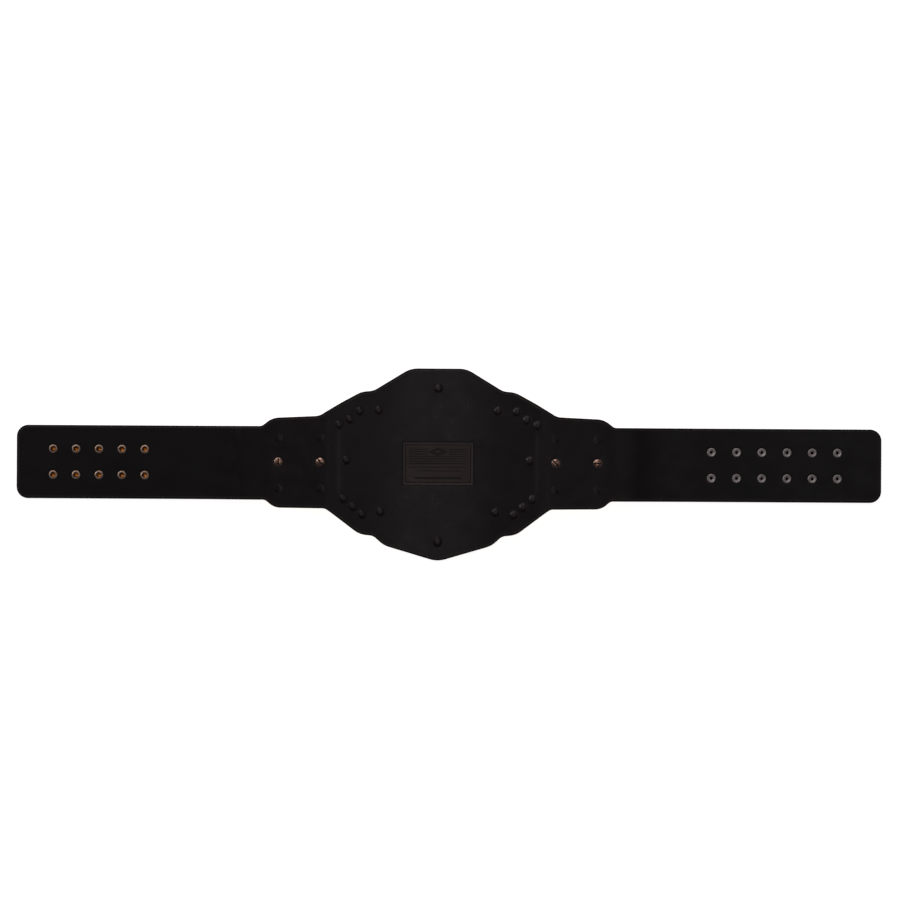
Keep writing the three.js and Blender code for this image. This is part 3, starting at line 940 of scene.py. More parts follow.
@dataclass
class Fastenings:
    """Where the belt's fasteners are."""

    lie: Lie
    outline: Outline
    plate_reach: float = 148.2
    ear_reach: float = 148.8
    ear_line: float = 57.5
    column_places: tuple[float, float] = (174.9, 237.1)
    side_post_offset: float = 37.5
    post_radius: float = 3.4
    barrel_radius: float = 2.7
    shank_radius: float = 2.3
    table: tuple[Post, ...] = (
        Post(0, 0.792),
        Post(0.601, 0.56),
        Post(0.794, 0.55),
        Post(0.896, 0.464),
        Post(0.928, 0.038),
        Post(0.959, -0.356),
        Post(0.86, -0.439),
        Post(0.767, -0.517),
        Post(0.581, -0.492),
        Post(0, -0.793, 1.3),
    )
    screws: tuple[str, ...] = (
        "screw_left_outer",
        "screw_left_inner",
        "screw_right_inner",
        "screw_right_outer",
    )
    socket_count: int = 10
    stud_count: int = 12

    def main_posts(self) -> list[tuple[Disc, float]]:
        """The posts of the main plate.

        Returns:
            Each post with how much its bump is stretched across the belt.
        """
        found = []
        for row in self.table:
            height = self.outline.crown_height if row.height > 0 else self.outline.point_depth
            for sign in (1,) if row.reach == 0 else (-1, 1):
                place = sign * row.reach * self.plate_reach
                found.append((Disc(place, row.height * height, self.post_radius), row.stretch))
        for sign in (-1, 1):
            found.append((Disc(sign * self.ear_reach, self.ear_line, self.post_radius), 1.0))
        return found

    def side_posts(self) -> list[Disc]:
        """The posts of both side plates.

        Returns:
            The posts, those of the left plate first.
        """
        return [
            Disc(sign * column, line * self.side_post_offset, self.post_radius)
            for sign in (-1, 1)
            for column in self.column_places
            for line in (-1, 1)
        ]

    def _named(self, names: Sequence[str], radius: float) -> list[Disc]:
        """The places of CAD nodes as discs of one radius."""
        return [Disc(*self.lie.spot(name), radius) for name in names]

    def screw_spots(self) -> list[Disc]:
        """The slotted screws' shanks."""
        return self._named(self.screws, self.shank_radius)

    def socket_spots(self) -> list[Disc]:
        """The barrels of the snaps' sockets."""
        names = [f"socket_{i + 1:02d}" for i in range(self.socket_count)]
        return self._named(names, self.barrel_radius)

    def eyelet_spots(self) -> list[Disc]:
        """The barrels of the studs' eyelets."""
        names = [f"eyelet_{i + 1:02d}" for i in range(self.stud_count)]
        return self._named(names, self.barrel_radius)


@dataclass(frozen=True)
class Wave:
    """A slow wave of the hide: its lengths along and across the belt, its start and its height."""

    along: float
    across: float
    start: float
    height: float


@dataclass(frozen=True)
class Rule:
    """A line pressed into the panel: its y, the near and far end of its half and its relative width."""

    y: float
    near: float
    far: float
    width: float = 1.0


@dataclass
class Leathers:
    """The belt's two layers of leather."""

    lie: Lie
    outline: Outline
    fastenings: Fastenings
    strap_back: float = 3.0
    lining_front: float = 3.3
    lining_back: float = 5.3
    lining_overlap: float = 0.1
    strap_overlap: float = 0.15
    seam_groove: float = 0.12
    seam_depth: float = 0.1
    edge_radius: float = 0.9
    dressing_fade: tuple[float, float] = (1.5, 2.2)
    crease_depth: float = 0.22
    crease_place: float = 1.9
    crease_width: float = 0.55
    roll_height: float = 0.12
    roll_place: float = 3.0
    roll_width: float = 0.7
    roll_highlight: float = 0.45
    tooled_place: float = 5.2
    tooled_width: float = 0.7
    bump_height: float = 1.65
    bump_radius: float = 7.2
    bump_highlight: float = 0.4
    shoulder_range: tuple[float, float] = (0.3, 1.02)
    shoulder_share: float = 0.82
    dome_radius: float = 0.75
    dome_share: float = 0.18
    faint_share: float = 0.32
    fitting_radius: float = 6.4
    dimple_depth: float = 0.25
    dimple_width: float = 1.1
    ridge_height: float = 0.16
    ridge_width: float = 3.4
    ridge_half: float = 46.0
    ridge_fade: float = 8.0
    ridge_highlight: float = 0.2
    waves: tuple[Wave, ...] = (
        Wave(163, 41, 0.4, 0.07),
        Wave(97, -118, 1.9, 0.06),
        Wave(58, 73, 4.1, 0.045),
        Wave(-41, 52, 2.7, 0.03),
        Wave(33, -27, 0.9, 0.012),
    )
    panel_width: float = 103.0
    panel_height: float = 61.5
    panel_depth: float = 0.5
    panel_wall: float = 0.5
    border_places: tuple[float, float] = (-1.1, 2.8)
    bead_place: float = 0.85
    bead_width: float = 1.0
    line_depth: float = 0.3
    line_width: float = 0.62
    line_shade: float = 0.9
    rules_inset: float = 3.0
    rules: tuple[Rule, ...] = (
        *(Rule(21.0 - 3.5 * i, 16.0, 42.0) for i in range(3)),
        *(Rule(10.5 - 3.5 * i, 0.0, 42.0) for i in range(4)),
        Rule(-5.5, 0.0, 42.0, 0.7),
        Rule(-11.0, 0.0, 34.0, 0.7),
        Rule(-21.5, 0.0, 33.0, 1.9),
    )
    lozenge_y: float = 17.5
    lozenge_half_width: float = 13.0
    lozenge_half_height: float = 5.4
    lozenge_sizes: tuple[float, float] = (1.0, 0.62)
    lozenge_steepness: float = 5.0
    fold_shade: float = 0.4
    bore_gap: float = 0.2
    loop_step: float = 2.4
    lining_rings: tuple[float, ...] = (0.1, 0.28, 0.55, 0.9, 1.5, 1.9, 2.3, 3.0, 3.7, 4.5)
    strap_rings: tuple[float, ...] = (0.1, 0.28, 0.55, 0.9, 2.5, 4.2, 4.8, 5.2, 5.6, 6.2)
    fitting_rings: tuple[float, ...] = (4.4, 5.6, 6.4, 7.2, 8.2, 9.6)

    def __post_init__(self) -> None:
        """Lays out the region and the fittings that both layers share."""
        edges = [self.outline.leather_edge(side, self.lie) for side in (Side.UPPER, Side.LOWER)]
        self.region = Region(*edges, self.loop_step)
        self.posts = self.fastenings.main_posts()
        self.side_posts = self.fastenings.side_posts()
        snaps = [*self.fastenings.socket_spots(), *self.fastenings.eyelet_spots()]
        self.fittings = [*self.fastenings.screw_spots(), *snaps]

    def _rounding(self, depth: np.ndarray, radius: float) -> np.ndarray:
        """How far a rounded edge lies below its face.

        Args:
            depth: The distance from the edge.
            radius: The edge's radius.

        Returns:
            The drop at each distance.
        """
        reach = np.clip(radius - depth, 0, radius)
        return radius - np.sqrt(radius * radius - reach * reach)

    def _bump(self, points: np.ndarray, post: Disc, stretch: float) -> np.ndarray:
        """The share of a bump's height over a post.

        Args:
            points: Rows of s and y.
            post: The post.
            stretch: How much longer the bump is across the belt than along it.

        Returns:
            The share at each point.
        """
        reach = np.hypot(points[:, 0] - post.s, (points[:, 1] - post.y) / stretch)
        start, end = (share * self.bump_radius for share in self.shoulder_range)
        shoulder = 1 - smooth_step(start, end, reach)
        dome = np.clip(1 - (reach / (self.dome_radius * self.bump_radius)) ** 2, 0, 1)
        return self.shoulder_share * shoulder + self.dome_share * dome

    def _bumps(self, points: np.ndarray) -> np.ndarray:
        """The bumps over all posts together.

        Args:
            points: Rows of s and y.

        Returns:
            Their height at each point.
        """
        height = np.zeros(len(points))
        for post, stretch in self.posts:
            height = np.maximum(height, self.bump_height * self._bump(points, post, stretch))
        for post in self.side_posts:
            share = self.faint_share * self._bump(points, post, 1.0)
            height = np.maximum(height, self.bump_height * share)
        return height

    def _ripples(self, points: np.ndarray) -> np.ndarray:
        """The hide's own slow waves.

        Args:
            points: Rows of s and y.

        Returns:
            Their height at each point.
        """
        s, y = points.T
        total = np.zeros(len(points))
        for wave in self.waves:
            phase = 2 * math.pi * (s / wave.along + y / wave.across) + wave.start
            total += wave.height * np.sin(phase)
        return total

    def _ridge(self, points: np.ndarray) -> np.ndarray:
        """The soft ridges that the main plate's side edges press through the leather.

        Args:
            points: Rows of s and y.

        Returns:
            The share of their height at each point.
        """
        s, y = np.abs(points).T
        start, end = self.ridge_half - self.ridge_fade, self.ridge_half + self.ridge_fade
        ridge = hump(s, self.fastenings.plate_reach, self.ridge_width)
        return ridge * (1 - smooth_step(start, end, y))

    def _inset(self, points: np.ndarray) -> np.ndarray:
        """How far each point lies inside the pressed panel's edge."""
        s, y = np.abs(points).T
        return np.minimum(self.panel_width / 2 - s, self.panel_height / 2 - y)

    def _markings(self, points: np.ndarray) -> np.ndarray:
        """The lines pressed into the panel: a double border, rules and a plain lozenge.

        Args:
            points: Rows of s and y.

        Returns:
            The share of the lines' depth at each point.
        """
        s, y = np.abs(points[:, 0]), points[:, 1]
        inset = self._inset(points)
        share = np.zeros(len(points))
        for place in self.border_places:
            share = np.maximum(share, hump(inset, place, self.line_width))
        for rule in self.rules:
            across = hump(y, rule.y, self.line_width * rule.width) * (inset > self.rules_inset)
            along = smooth_step(rule.near - 1, rule.near, s) if rule.near else 1.0
            share = np.maximum(share, across * along * (1 - smooth_step(rule.far, rule.far + 1, s)))
        reach = s / self.lozenge_half_width + np.abs(y - self.lozenge_y) / self.lozenge_half_height
        for size in self.lozenge_sizes:
            line = hump((reach - size) * self.lozenge_steepness, 0, self.line_width)
            share = np.maximum(share, line)
        return share

    def lining_height(self, points: np.ndarray) -> np.ndarray:
        """The relief of the lining's face towards the wearer.

        Args:
            points: Rows of s and y.

        Returns:
            The n of the face at each point.
        """
        depth = self.region.depth(points)
        height = self.lining_back + self._bumps(points) + self._ripples(points)
        height -= self._rounding(depth, self.edge_radius)
        height -= self.crease_depth * hump(depth, self.crease_place, self.crease_width)
        height += self.roll_height * hump(depth, self.roll_place, self.roll_width)
        height += self.ridge_height * self._ridge(points)
        height -= self.panel_depth * smooth_step(0, self.panel_wall, self._inset(points))
        height -= self.line_depth * self._markings(points)
        for fitting in self.fittings:
            dimple = hump(fitting.reach(points), self.fitting_radius, self.dimple_width)
            height -= self.dimple_depth * dimple
        return height

    def _burnished(self, points: np.ndarray) -> np.ndarray:
        """The share of edge dressing, which covers the rounded edge and runs out in the crease."""
        return 1 - smooth_step(*self.dressing_fade, self.region.depth(points))

    def _dressing_and_painted_shade(self, points: np.ndarray) -> np.ndarray:
        """What is darker and duller: the edge's dressing, and painted shade in the pressed lines and
        over the folds beside the main plate.

        Args:
            points: Rows of s and y.

        Returns:
            The share at each point.
        """
        # Painted shade over the folds and in the pressed lines; only the edge's share is real dressing.
        fold = (self.lie.fold_start + self.lie.side_start) / 2
        painted_fold_shade = self.fold_shade * hump(np.abs(points[:, 0]), fold, self.lie.softness)
        lines = self.line_shade * self._markings(points)
        return np.max((self._burnished(points), lines, painted_fold_shade), axis=0)

    def _painted_highlight_share(self, points: np.ndarray) -> np.ndarray:
        """A painted highlight on the raised places: the bumps' tops, the edge's roll, the panel's bead
        and the ridges.

        Args:
            points: Rows of s and y.

        Returns:
            The share at each point.
        """
        # Paints a highlight on each raised place, strongest on the bumps' tops and the panel's bead.
        bumps = self.bump_highlight * np.clip(self._bumps(points) / self.bump_height, 0, 1) ** 4
        roll = self.roll_highlight * hump(self.region.depth(points), self.roll_place, self.roll_width)
        bead = hump(self._inset(points), self.bead_place, self.bead_width)
        return np.max((bumps, roll, bead, self.ridge_highlight * self._ridge(points)), axis=0)

    def _seam_low(self, points: np.ndarray) -> np.ndarray:
        """The lining's hidden face, as n, with a fine groove at the edge."""
        groove = self.seam_groove * (self.region.depth(points) < self.seam_depth)
        return self.lining_front - self.lining_overlap + groove

    def _seam_high(self, points: np.ndarray) -> np.ndarray:
        """The strap's hidden face, as n, with a fine groove at the edge."""
        groove = self.seam_groove * (self.region.depth(points) < self.seam_depth)
        return self.strap_back + self.strap_overlap - groove

    def _strap_front(self, points: np.ndarray) -> np.ndarray:
        """The relief of the strap's front face, with a rounded edge and a tooled line.

        Args:
            points: Rows of s and y.

        Returns:
            The n of the face at each point.
        """
        depth = self.region.depth(points)
        line = self.crease_depth * hump(depth, self.tooled_place, self.tooled_width)
        return self._rounding(depth, self.edge_radius) + line

    def _bump_details(self) -> list[np.ndarray]:
        """Lays out the points that the bumps' relief needs.

        Returns:
            Rings of points over the posts.
        """
        shares = np.linspace(0.1, 1.2, 12)
        found = []
        for post in [*(post for post, _ in self.posts), *self.side_posts]:
            found.append(np.array([[post.s, post.y]]))
            for share in shares:
                found.append(post.rim(8 + round(20 * share), share * self.bump_radius))
        return found

    def _panel_details(self) -> list[np.ndarray]:
        """Lays out the points that the pressed panel needs.

        Returns:
            A grid of points, finest where the panel's lines are.
        """
        half_width, half_height = self.panel_width / 2, self.panel_height / 2
        border = np.arange(-2.5, 4.4, 0.3)
        beside, outer = np.arange(0.4, 16, 0.75), np.arange(17, 45, 1.6)
        fine = np.concatenate((half_width - border, beside, outer))
        columns = np.unique(np.round(np.concatenate((fine, -fine)), 4))
        rows = np.arange(-half_height - 2.5, half_height + 2.5, 0.33)
        s, y = np.meshgrid(columns, rows)
        return [np.column_stack((s.ravel(), y.ravel()))]

    def _ridge_details(self) -> list[np.ndarray]:
        """Lays out the points that the ridges and the folds need.

        Returns:
            Lines of points along them, clear of the bumps.
        """
        reach = self.fastenings.plate_reach
        ridge = np.arange(reach - 5, reach + 5.1, 0.85)
        fold = np.arange(reach + 6, reach + 18, 1.6)
        places = np.concatenate((ridge, fold))
        rows = np.arange(-90, 90, 2.6)
        found = []
        for sign in (-1, 1):
            s, y = np.meshgrid(sign * places, rows)
            points = np.column_stack((s.ravel(), y.ravel()))
            for post, _ in self.posts:
                points = points[post.reach(points) > 1.3 * self.bump_radius]
            found.append(points)
        return found

    def _fitting_details(self) -> list[np.ndarray]:
        """Rings of points round the bare fasteners."""
        return [fitting.rim(28, reach) for fitting in self.fittings for reach in self.fitting_rings]

    def _edge_details(self) -> list[np.ndarray]:
        """Lines of points along the edge, closest where it is rounded and creased."""
        return [self.region.ring(distance) for distance in self.lining_rings]

    def lining(self, finish: bpy.types.Material) -> bpy.types.Object:
        """Builds the lining.

        Args:
            finish: Its leather.

        Returns:
            The piece.
        """
        details = [
            *self._edge_details(),
            *self._bump_details(),
            *self._panel_details(),
            *self._ridge_details(),
            *self._fitting_details(),
        ]
        masks = {
            # Painted highlight on the raised places.
            "painted_highlight": self._painted_highlight_share,
            "label": lambda points: smooth_step(-0.2, 0.4, self._inset(points)),
            # The edge dressing, with painted shade in the pressed lines and over the folds.
            "edge": self._dressing_and_painted_shade,
        }
        mesh = Slab(self.region, self.fittings).mesh(
            "lining_leather",
            self.lie,
            back=self.lining_height,
            front=self._seam_low,
            back_details=details,
            back_spacing=4.0,
            front_spacing=7.0,
            masks=masks,
        )
        return dressed("lining_leather", mesh, [finish], ["lining"])

    def strap(self, finish: bpy.types.Material) -> bpy.types.Object:
        """Builds the strap.

        Args:
            finish: Its leather.

        Returns:
            The piece.
        """
        posts = [*(post for post, _ in self.posts), *self.side_posts]
        bores = [Disc(post.s, post.y, post.radius + self.bore_gap) for post in posts]
        mesh = Slab(self.region, [*self.fittings, *bores]).mesh(
            "strap_leather",
            self.lie,
            back=self._seam_high,
            front=self._strap_front,
            front_details=[self.region.ring(distance) for distance in self.strap_rings],
            back_spacing=8.0,
            front_spacing=5.0,
            masks={"edge": self._burnished},
        )
        return dressed("strap_leather", mesh, [finish], ["strap"])


@dataclass
class Plates:
    """The metal plates under the belt. Their fronts face the floor and are finished plainly."""

    lie: Lie
    outline: Outline
    fastenings: Fastenings
    margin: float = 7.5
    plate_back: float = -0.3
    plate_front: float = -2.5
    rim_front: float = -3.9
    rim_width: float = 5.0
    medallion_front: float = -5.5
    medallion_radius: float = 40.0
    disc_front: float = -3.9
    disc_radius: float = 19.0
    ear_radius: float = 7.0
    post_top: float = 4.8
    post_radius: float = 3.4
    screw_line: float = 2.0
    wall: float = 0.35
    crown_height: float = 0.35
    crown_width: float = 1.6
    edge_drop: float = 0.5
    edge_width: float = 0.6
    step_height: float = 0.4
    step_inset: float = 4.0
    step_width: float = 1.0
    stem_wall: tuple[float, float] = (0.08, 0.01)
    disc_rings: tuple[float, ...] = (-6, -5, -4, -3, -1, -0.35, 0, 1)
    rim_rings: tuple[float, ...] = (0.2, 0.6, 1.4, 2.5, 3.4)
    loop_step: float = 2.5

    def _edge(self, side: Side, low: float, high: float) -> np.ndarray:
        """One edge of a plate between two places.

        Args:
            side: The upper or the lower edge.
            low: Where the plate starts.
            high: Where it ends.

        Returns:
            Rows of s and y.
        """
        line = Outline.rounded(self.outline.corners(side, self.lie, self.margin))
        inside = line[(line[:, 0] > low) & (line[:, 0] < high)]
        ends = [(s, np.interp(s, *line.T)) for s in (low, high)]
        return np.vstack((ends[0], inside, ends[1]))

    def _main_region(self) -> Region:
        """Outlines the main plate, with an ear on each side.

        Returns:
            Its region.
        """
        reach = self.fastenings.plate_reach
        centre = np.array((self.fastenings.ear_reach, self.fastenings.ear_line))
        start = math.acos((reach - centre[0]) / self.ear_radius)
        edges = []
        for side in (Side.UPPER, Side.LOWER):
            angles = np.linspace(start, 0, 9)
            arc = np.column_stack((np.cos(angles), side.value * np.sin(angles)))
            arc = arc * self.ear_radius + centre
            middle = self._edge(side, -reach, reach)
            edges.append(np.vstack((arc[::-1] * (-1, 1), middle, arc)))
        return Region(*edges, self.loop_step)

    def _front(
        self, region: Region, middle: Disc, raised: float, points: np.ndarray
    ) -> np.ndarray:
        """The relief of a plate's front: a rounded rim, a plain field and a raised disc.

        Args:
            region: The plate's region.
            middle: The raised disc.
            raised: The disc's level.
            points: Rows of s and y.

        Returns:
            The n of the front at each point.
        """
        depth = region.depth(points)
        rim = 1 - smooth_step(self.rim_width - 2 * self.wall, self.rim_width, depth)
        crown = self.crown_height * hump(depth, self.rim_width / 2, self.crown_width) * rim
        edge = self.edge_drop * (1 - smooth_step(0, self.edge_width, depth))
        reach = middle.reach(points)
        disc = 1 - smooth_step(middle.radius - self.wall, middle.radius, reach)
        step = self.step_height * hump(reach, middle.radius - self.step_inset, self.step_width)
        low = self.plate_front + (self.rim_front - self.plate_front) * rim + edge
        rounded = low + self.crown_height * rim - crown
        return rounded + (raised - self.plate_front) * disc * (1 - rim) + step * disc

    def _back(self, posts: Sequence[Disc], points: np.ndarray) -> np.ndarray:
        """The back of a plate with its posts.

        Args:
            posts: The posts.
            points: Rows of s and y.

        Returns:
            The n of the back at each point.
        """
        share = np.zeros(len(points))
        for post in posts:
            start, end = (post.radius - inset for inset in self.stem_wall)
            share = np.maximum(share, 1 - smooth_step(start, end, post.reach(points)))
        return self.plate_back + (self.post_top - self.plate_back) * share

    def _plate(
        self,
        name: str,
        region: Region,
        middle: Disc,
        raised: float,
        posts: Sequence[Disc],
        finish: bpy.types.Material,
    ) -> bpy.types.Object:
        """Builds one plate.

        Args:
            name: The CAD node that it stands for.
            region: Its region.
            middle: Its raised disc.
            raised: The disc's level.
            posts: Its posts.
            finish: Its metal.

        Returns:
            The piece.
        """
        rings = [middle.rim(96, middle.radius + shift) for shift in self.disc_rings]
        places = (*self.rim_rings, self.rim_width - 2 * self.wall, self.rim_width)
        rims = [region.ring(distance) for distance in places]
        stems = [post.rim(20, post.radius - inset) for post in posts for inset in self.stem_wall]
        mesh = Slab(region).mesh(
            name + "_metal",
            self.lie,
            back=partial(self._back, posts),
            front=partial(self._front, region, middle, raised),
            back_details=stems,
            front_details=[*rings, *rims],
            back_spacing=7.0,
            front_spacing=5.0,
        )
        return dressed(name + "_metal", mesh, [finish], [name])

    def build(self, finish: bpy.types.Material) -> list[bpy.types.Object]:
        """Builds the three plates.

        Args:
            finish: Their metal.

        Returns:
            The pieces.
        """
        posts = [post for post, _ in self.fastenings.main_posts()]
        region = self._main_region()
        medallion = Disc(0, 0, self.medallion_radius)
        pieces = [self._plate("main_plate", region, medallion, self.medallion_front, posts, finish)]
        for name, low, high in (
            ("side_plate_left", -self.lie.side_end, -self.lie.side_start),
            ("side_plate_right", self.lie.side_start, self.lie.side_end),
        ):
            edges = [self._edge(side, low, high) for side in (Side.UPPER, Side.LOWER)]
            region = Region(*edges, self.loop_step)
            own = [post for post in self.fastenings.side_posts() if low < post.s < high]
            middle = Disc((low + high) / 2, self.screw_line, self.disc_radius)
            pieces.append(self._plate(name, region, middle, self.disc_front, own, finish))
        return pieces


@dataclass(frozen=True)
class Arc:
    """A round stretch of a turned profile, about a centre, in degrees."""

    radius: float
    height: float
    size: float
    start: float
    end: float
    pieces: int = 6

    def points(self) -> list[tuple[float, float]]:
        """Splits the arc into straight pieces.

        Returns:
            Its points as radius and height.
        """
        angles = np.radians(np.linspace(self.start, self.end, self.pieces + 1))
        return [
            (self.radius + self.size * math.cos(angle), self.height + self.size * math.sin(angle))
            for angle in angles
        ]


def turned(
    name: str, profile: Sequence[tuple[float, float]], sides: int = 48, ovality: float = 0.0
) -> bpy.types.Mesh:
    """Turns a profile about Z.

    Args:
        name: The mesh's name.
        profile: Corners as radius and height, from the axis's bottom round the outside to its top.
        sides: Faces round the axis.
        ovality: How much longer the piece is along X than along Y, as a share.

    Returns:
        The mesh, in metres.
    """
    angles = np.arange(sides) * 2 * math.pi / sides
    corners, rings = [], []
    for radius, height in profile:
        if radius < 1e-6:
            rings.append([len(corners)])
            corners.append((0.0, 0.0, height * MM))
            continue
        rings.append(list(range(len(corners), len(corners) + sides)))
        for angle in angles:
            along = radius * (1 + ovality) * math.cos(angle)
            corners.append((along * MM, radius * math.sin(angle) * MM, height * MM))
    faces = []
    for low, high in zip(rings, rings[1:]):
        for i in range(sides):
            j = (i + 1) % sides
            if len(low) == 1:
                faces.append((low[0], high[j], high[i]))
            elif len(high) == 1:
                faces.append((low[i], low[j], high[0]))
            else:
                faces.append((low[i], low[j], high[j], high[i]))
    mesh = bpy.data.meshes.new(name)
    mesh.from_pydata(corners, [], faces)
    return smoothed(mesh)


@dataclass
class Screws:
    """The slotted screws that hold the side plates."""

    lie: Lie
    fastenings: Fastenings
    head_radius: float = 5.9
    head_top: float = 7.3
    head_foot: float = 5.15
    shank_radius: float = 2.0
    shank_foot: float = -1.8
    slot_width: float = 1.9
    slot_depth: float = 1.3
    slot_softness: float = 0.09
    slot_corner: float = 50.0
    slot_sharpest: float = 30.0
    rim_height: float = 0.7
    edge_radius: float = 0.35
    turns: tuple[float, ...] = (90, -50, -45, 5)

    def _dome(self, radius: float) -> float:
        """Gives the head's dome, a piece of a sphere.

        Args:
            radius: A distance from the axis.

        Returns:
            The dome's height there.
        """
        rise = self.head_top - self.head_foot - self.rim_height
        sphere = (self.head_radius**2 + rise**2) / (2 * rise)
        return self.head_top - sphere + math.sqrt(sphere**2 - radius**2)

    def _head(self) -> bpy.types.Mesh:
        """Turns the screw without its slot.

        Returns:
            Its mesh.
        """
        dome = [(radius, self._dome(radius)) for radius in np.linspace(self.head_radius - 0.25, 0, 14)]
        rim = Arc(self.head_radius - self.edge_radius, self.head_foot + 0.5, self.edge_radius, 0, 60, 4)
        foot = [
            (0, self.shank_foot),
            (self.shank_radius, self.shank_foot),
            (self.shank_radius, self.head_foot),
            (self.head_radius, self.head_foot),
        ]
        return turned("slotted_screw", [*foot, *rim.points(), *dome[1:]], 64)

    def _slotted(self, mesh: bpy.types.Mesh) -> bpy.types.Mesh:
        """Cuts the slot into a screw.

        Args:
            mesh: The screw without its slot.

        Returns:
            A new mesh with the slot and softened edges.
        """
        cutter = bpy.data.meshes.new("slot_cutter")
        half = Vector((2 * self.head_radius, self.slot_width / 2, self.slot_depth)) * MM
        signs = [(x, y, z) for x in (-1, 1) for y in (-1, 1) for z in (-1, 1)]
        corners = [(x * half.x, y * half.y, z * half.z + self.head_top * MM) for x, y, z in signs]
        faces = [(0, 1, 3, 2), (4, 6, 7, 5), (0, 4, 5, 1), (2, 3, 7, 6), (0, 2, 6, 4), (1, 5, 7, 3)]
        cutter.from_pydata(corners, [], faces)
        blank = bpy.data.objects.new("screw_blank", mesh)
        knife = bpy.data.objects.new("slot_knife", cutter)
        for thing in (blank, knife):
            bpy.context.scene.collection.objects.link(thing)
        cut = blank.modifiers.new("slot", "BOOLEAN")
        cut.object = knife
        cut.operation = "DIFFERENCE"
        soften = blank.modifiers.new("edges", "BEVEL")
        soften.width = self.slot_softness * MM
        soften.segments = 2
        soften.limit_method = "ANGLE"
        soften.angle_limit = math.radians(self.slot_corner)
        bpy.context.view_layer.update()
        shaped = blank.evaluated_get(bpy.context.evaluated_depsgraph_get())
        result = bpy.data.meshes.new_from_object(shaped)
        for thing in (blank, knife):
            bpy.data.objects.remove(thing)
        # The slot's deep faces take the second material, which paints shade in the slot.
        for face in result.polygons:
            s, y, n = (value / MM for value in face.center)
            deep = self.head_foot < n < self._dome(math.hypot(s, y)) - 0.15
            face.material_index = int(deep and abs(y) < self.slot_width / 2 + 0.02)
        return smoothed(result, self.slot_sharpest)

    def build(self, finish: bpy.types.Material, dull: bpy.types.Material) -> list[bpy.types.Object]:
        """Builds the screws.

        Args:
            finish: Their metal.
            dull: The near-black metal that paints shade in their slots.

        Returns:
            The pieces.
        """
        mesh = self._slotted(self._head())
        pieces = []
        for name, turn in zip(self.fastenings.screws, self.turns):
            seat = self.lie.seat(*self.lie.spot(name)) @ Matrix.Rotation(math.radians(turn), 4, "Z")
            own = mesh.copy()
            own.transform(seat)
            pieces.append(dressed(name + "_turned", own, [finish, dull], [name]))
        return pieces


@dataclass(frozen=True)
class SnapMetals:
    """The snaps' metals: what shows, painted shade for the cups' walls, the barrels' flared ends and
    painted shade for the holes.
    """

    antique: bpy.types.Material
    cup_shade: bpy.types.Material
    bare: bpy.types.Material
    nickel: bpy.types.Material
    hole_shade: bpy.types.Material


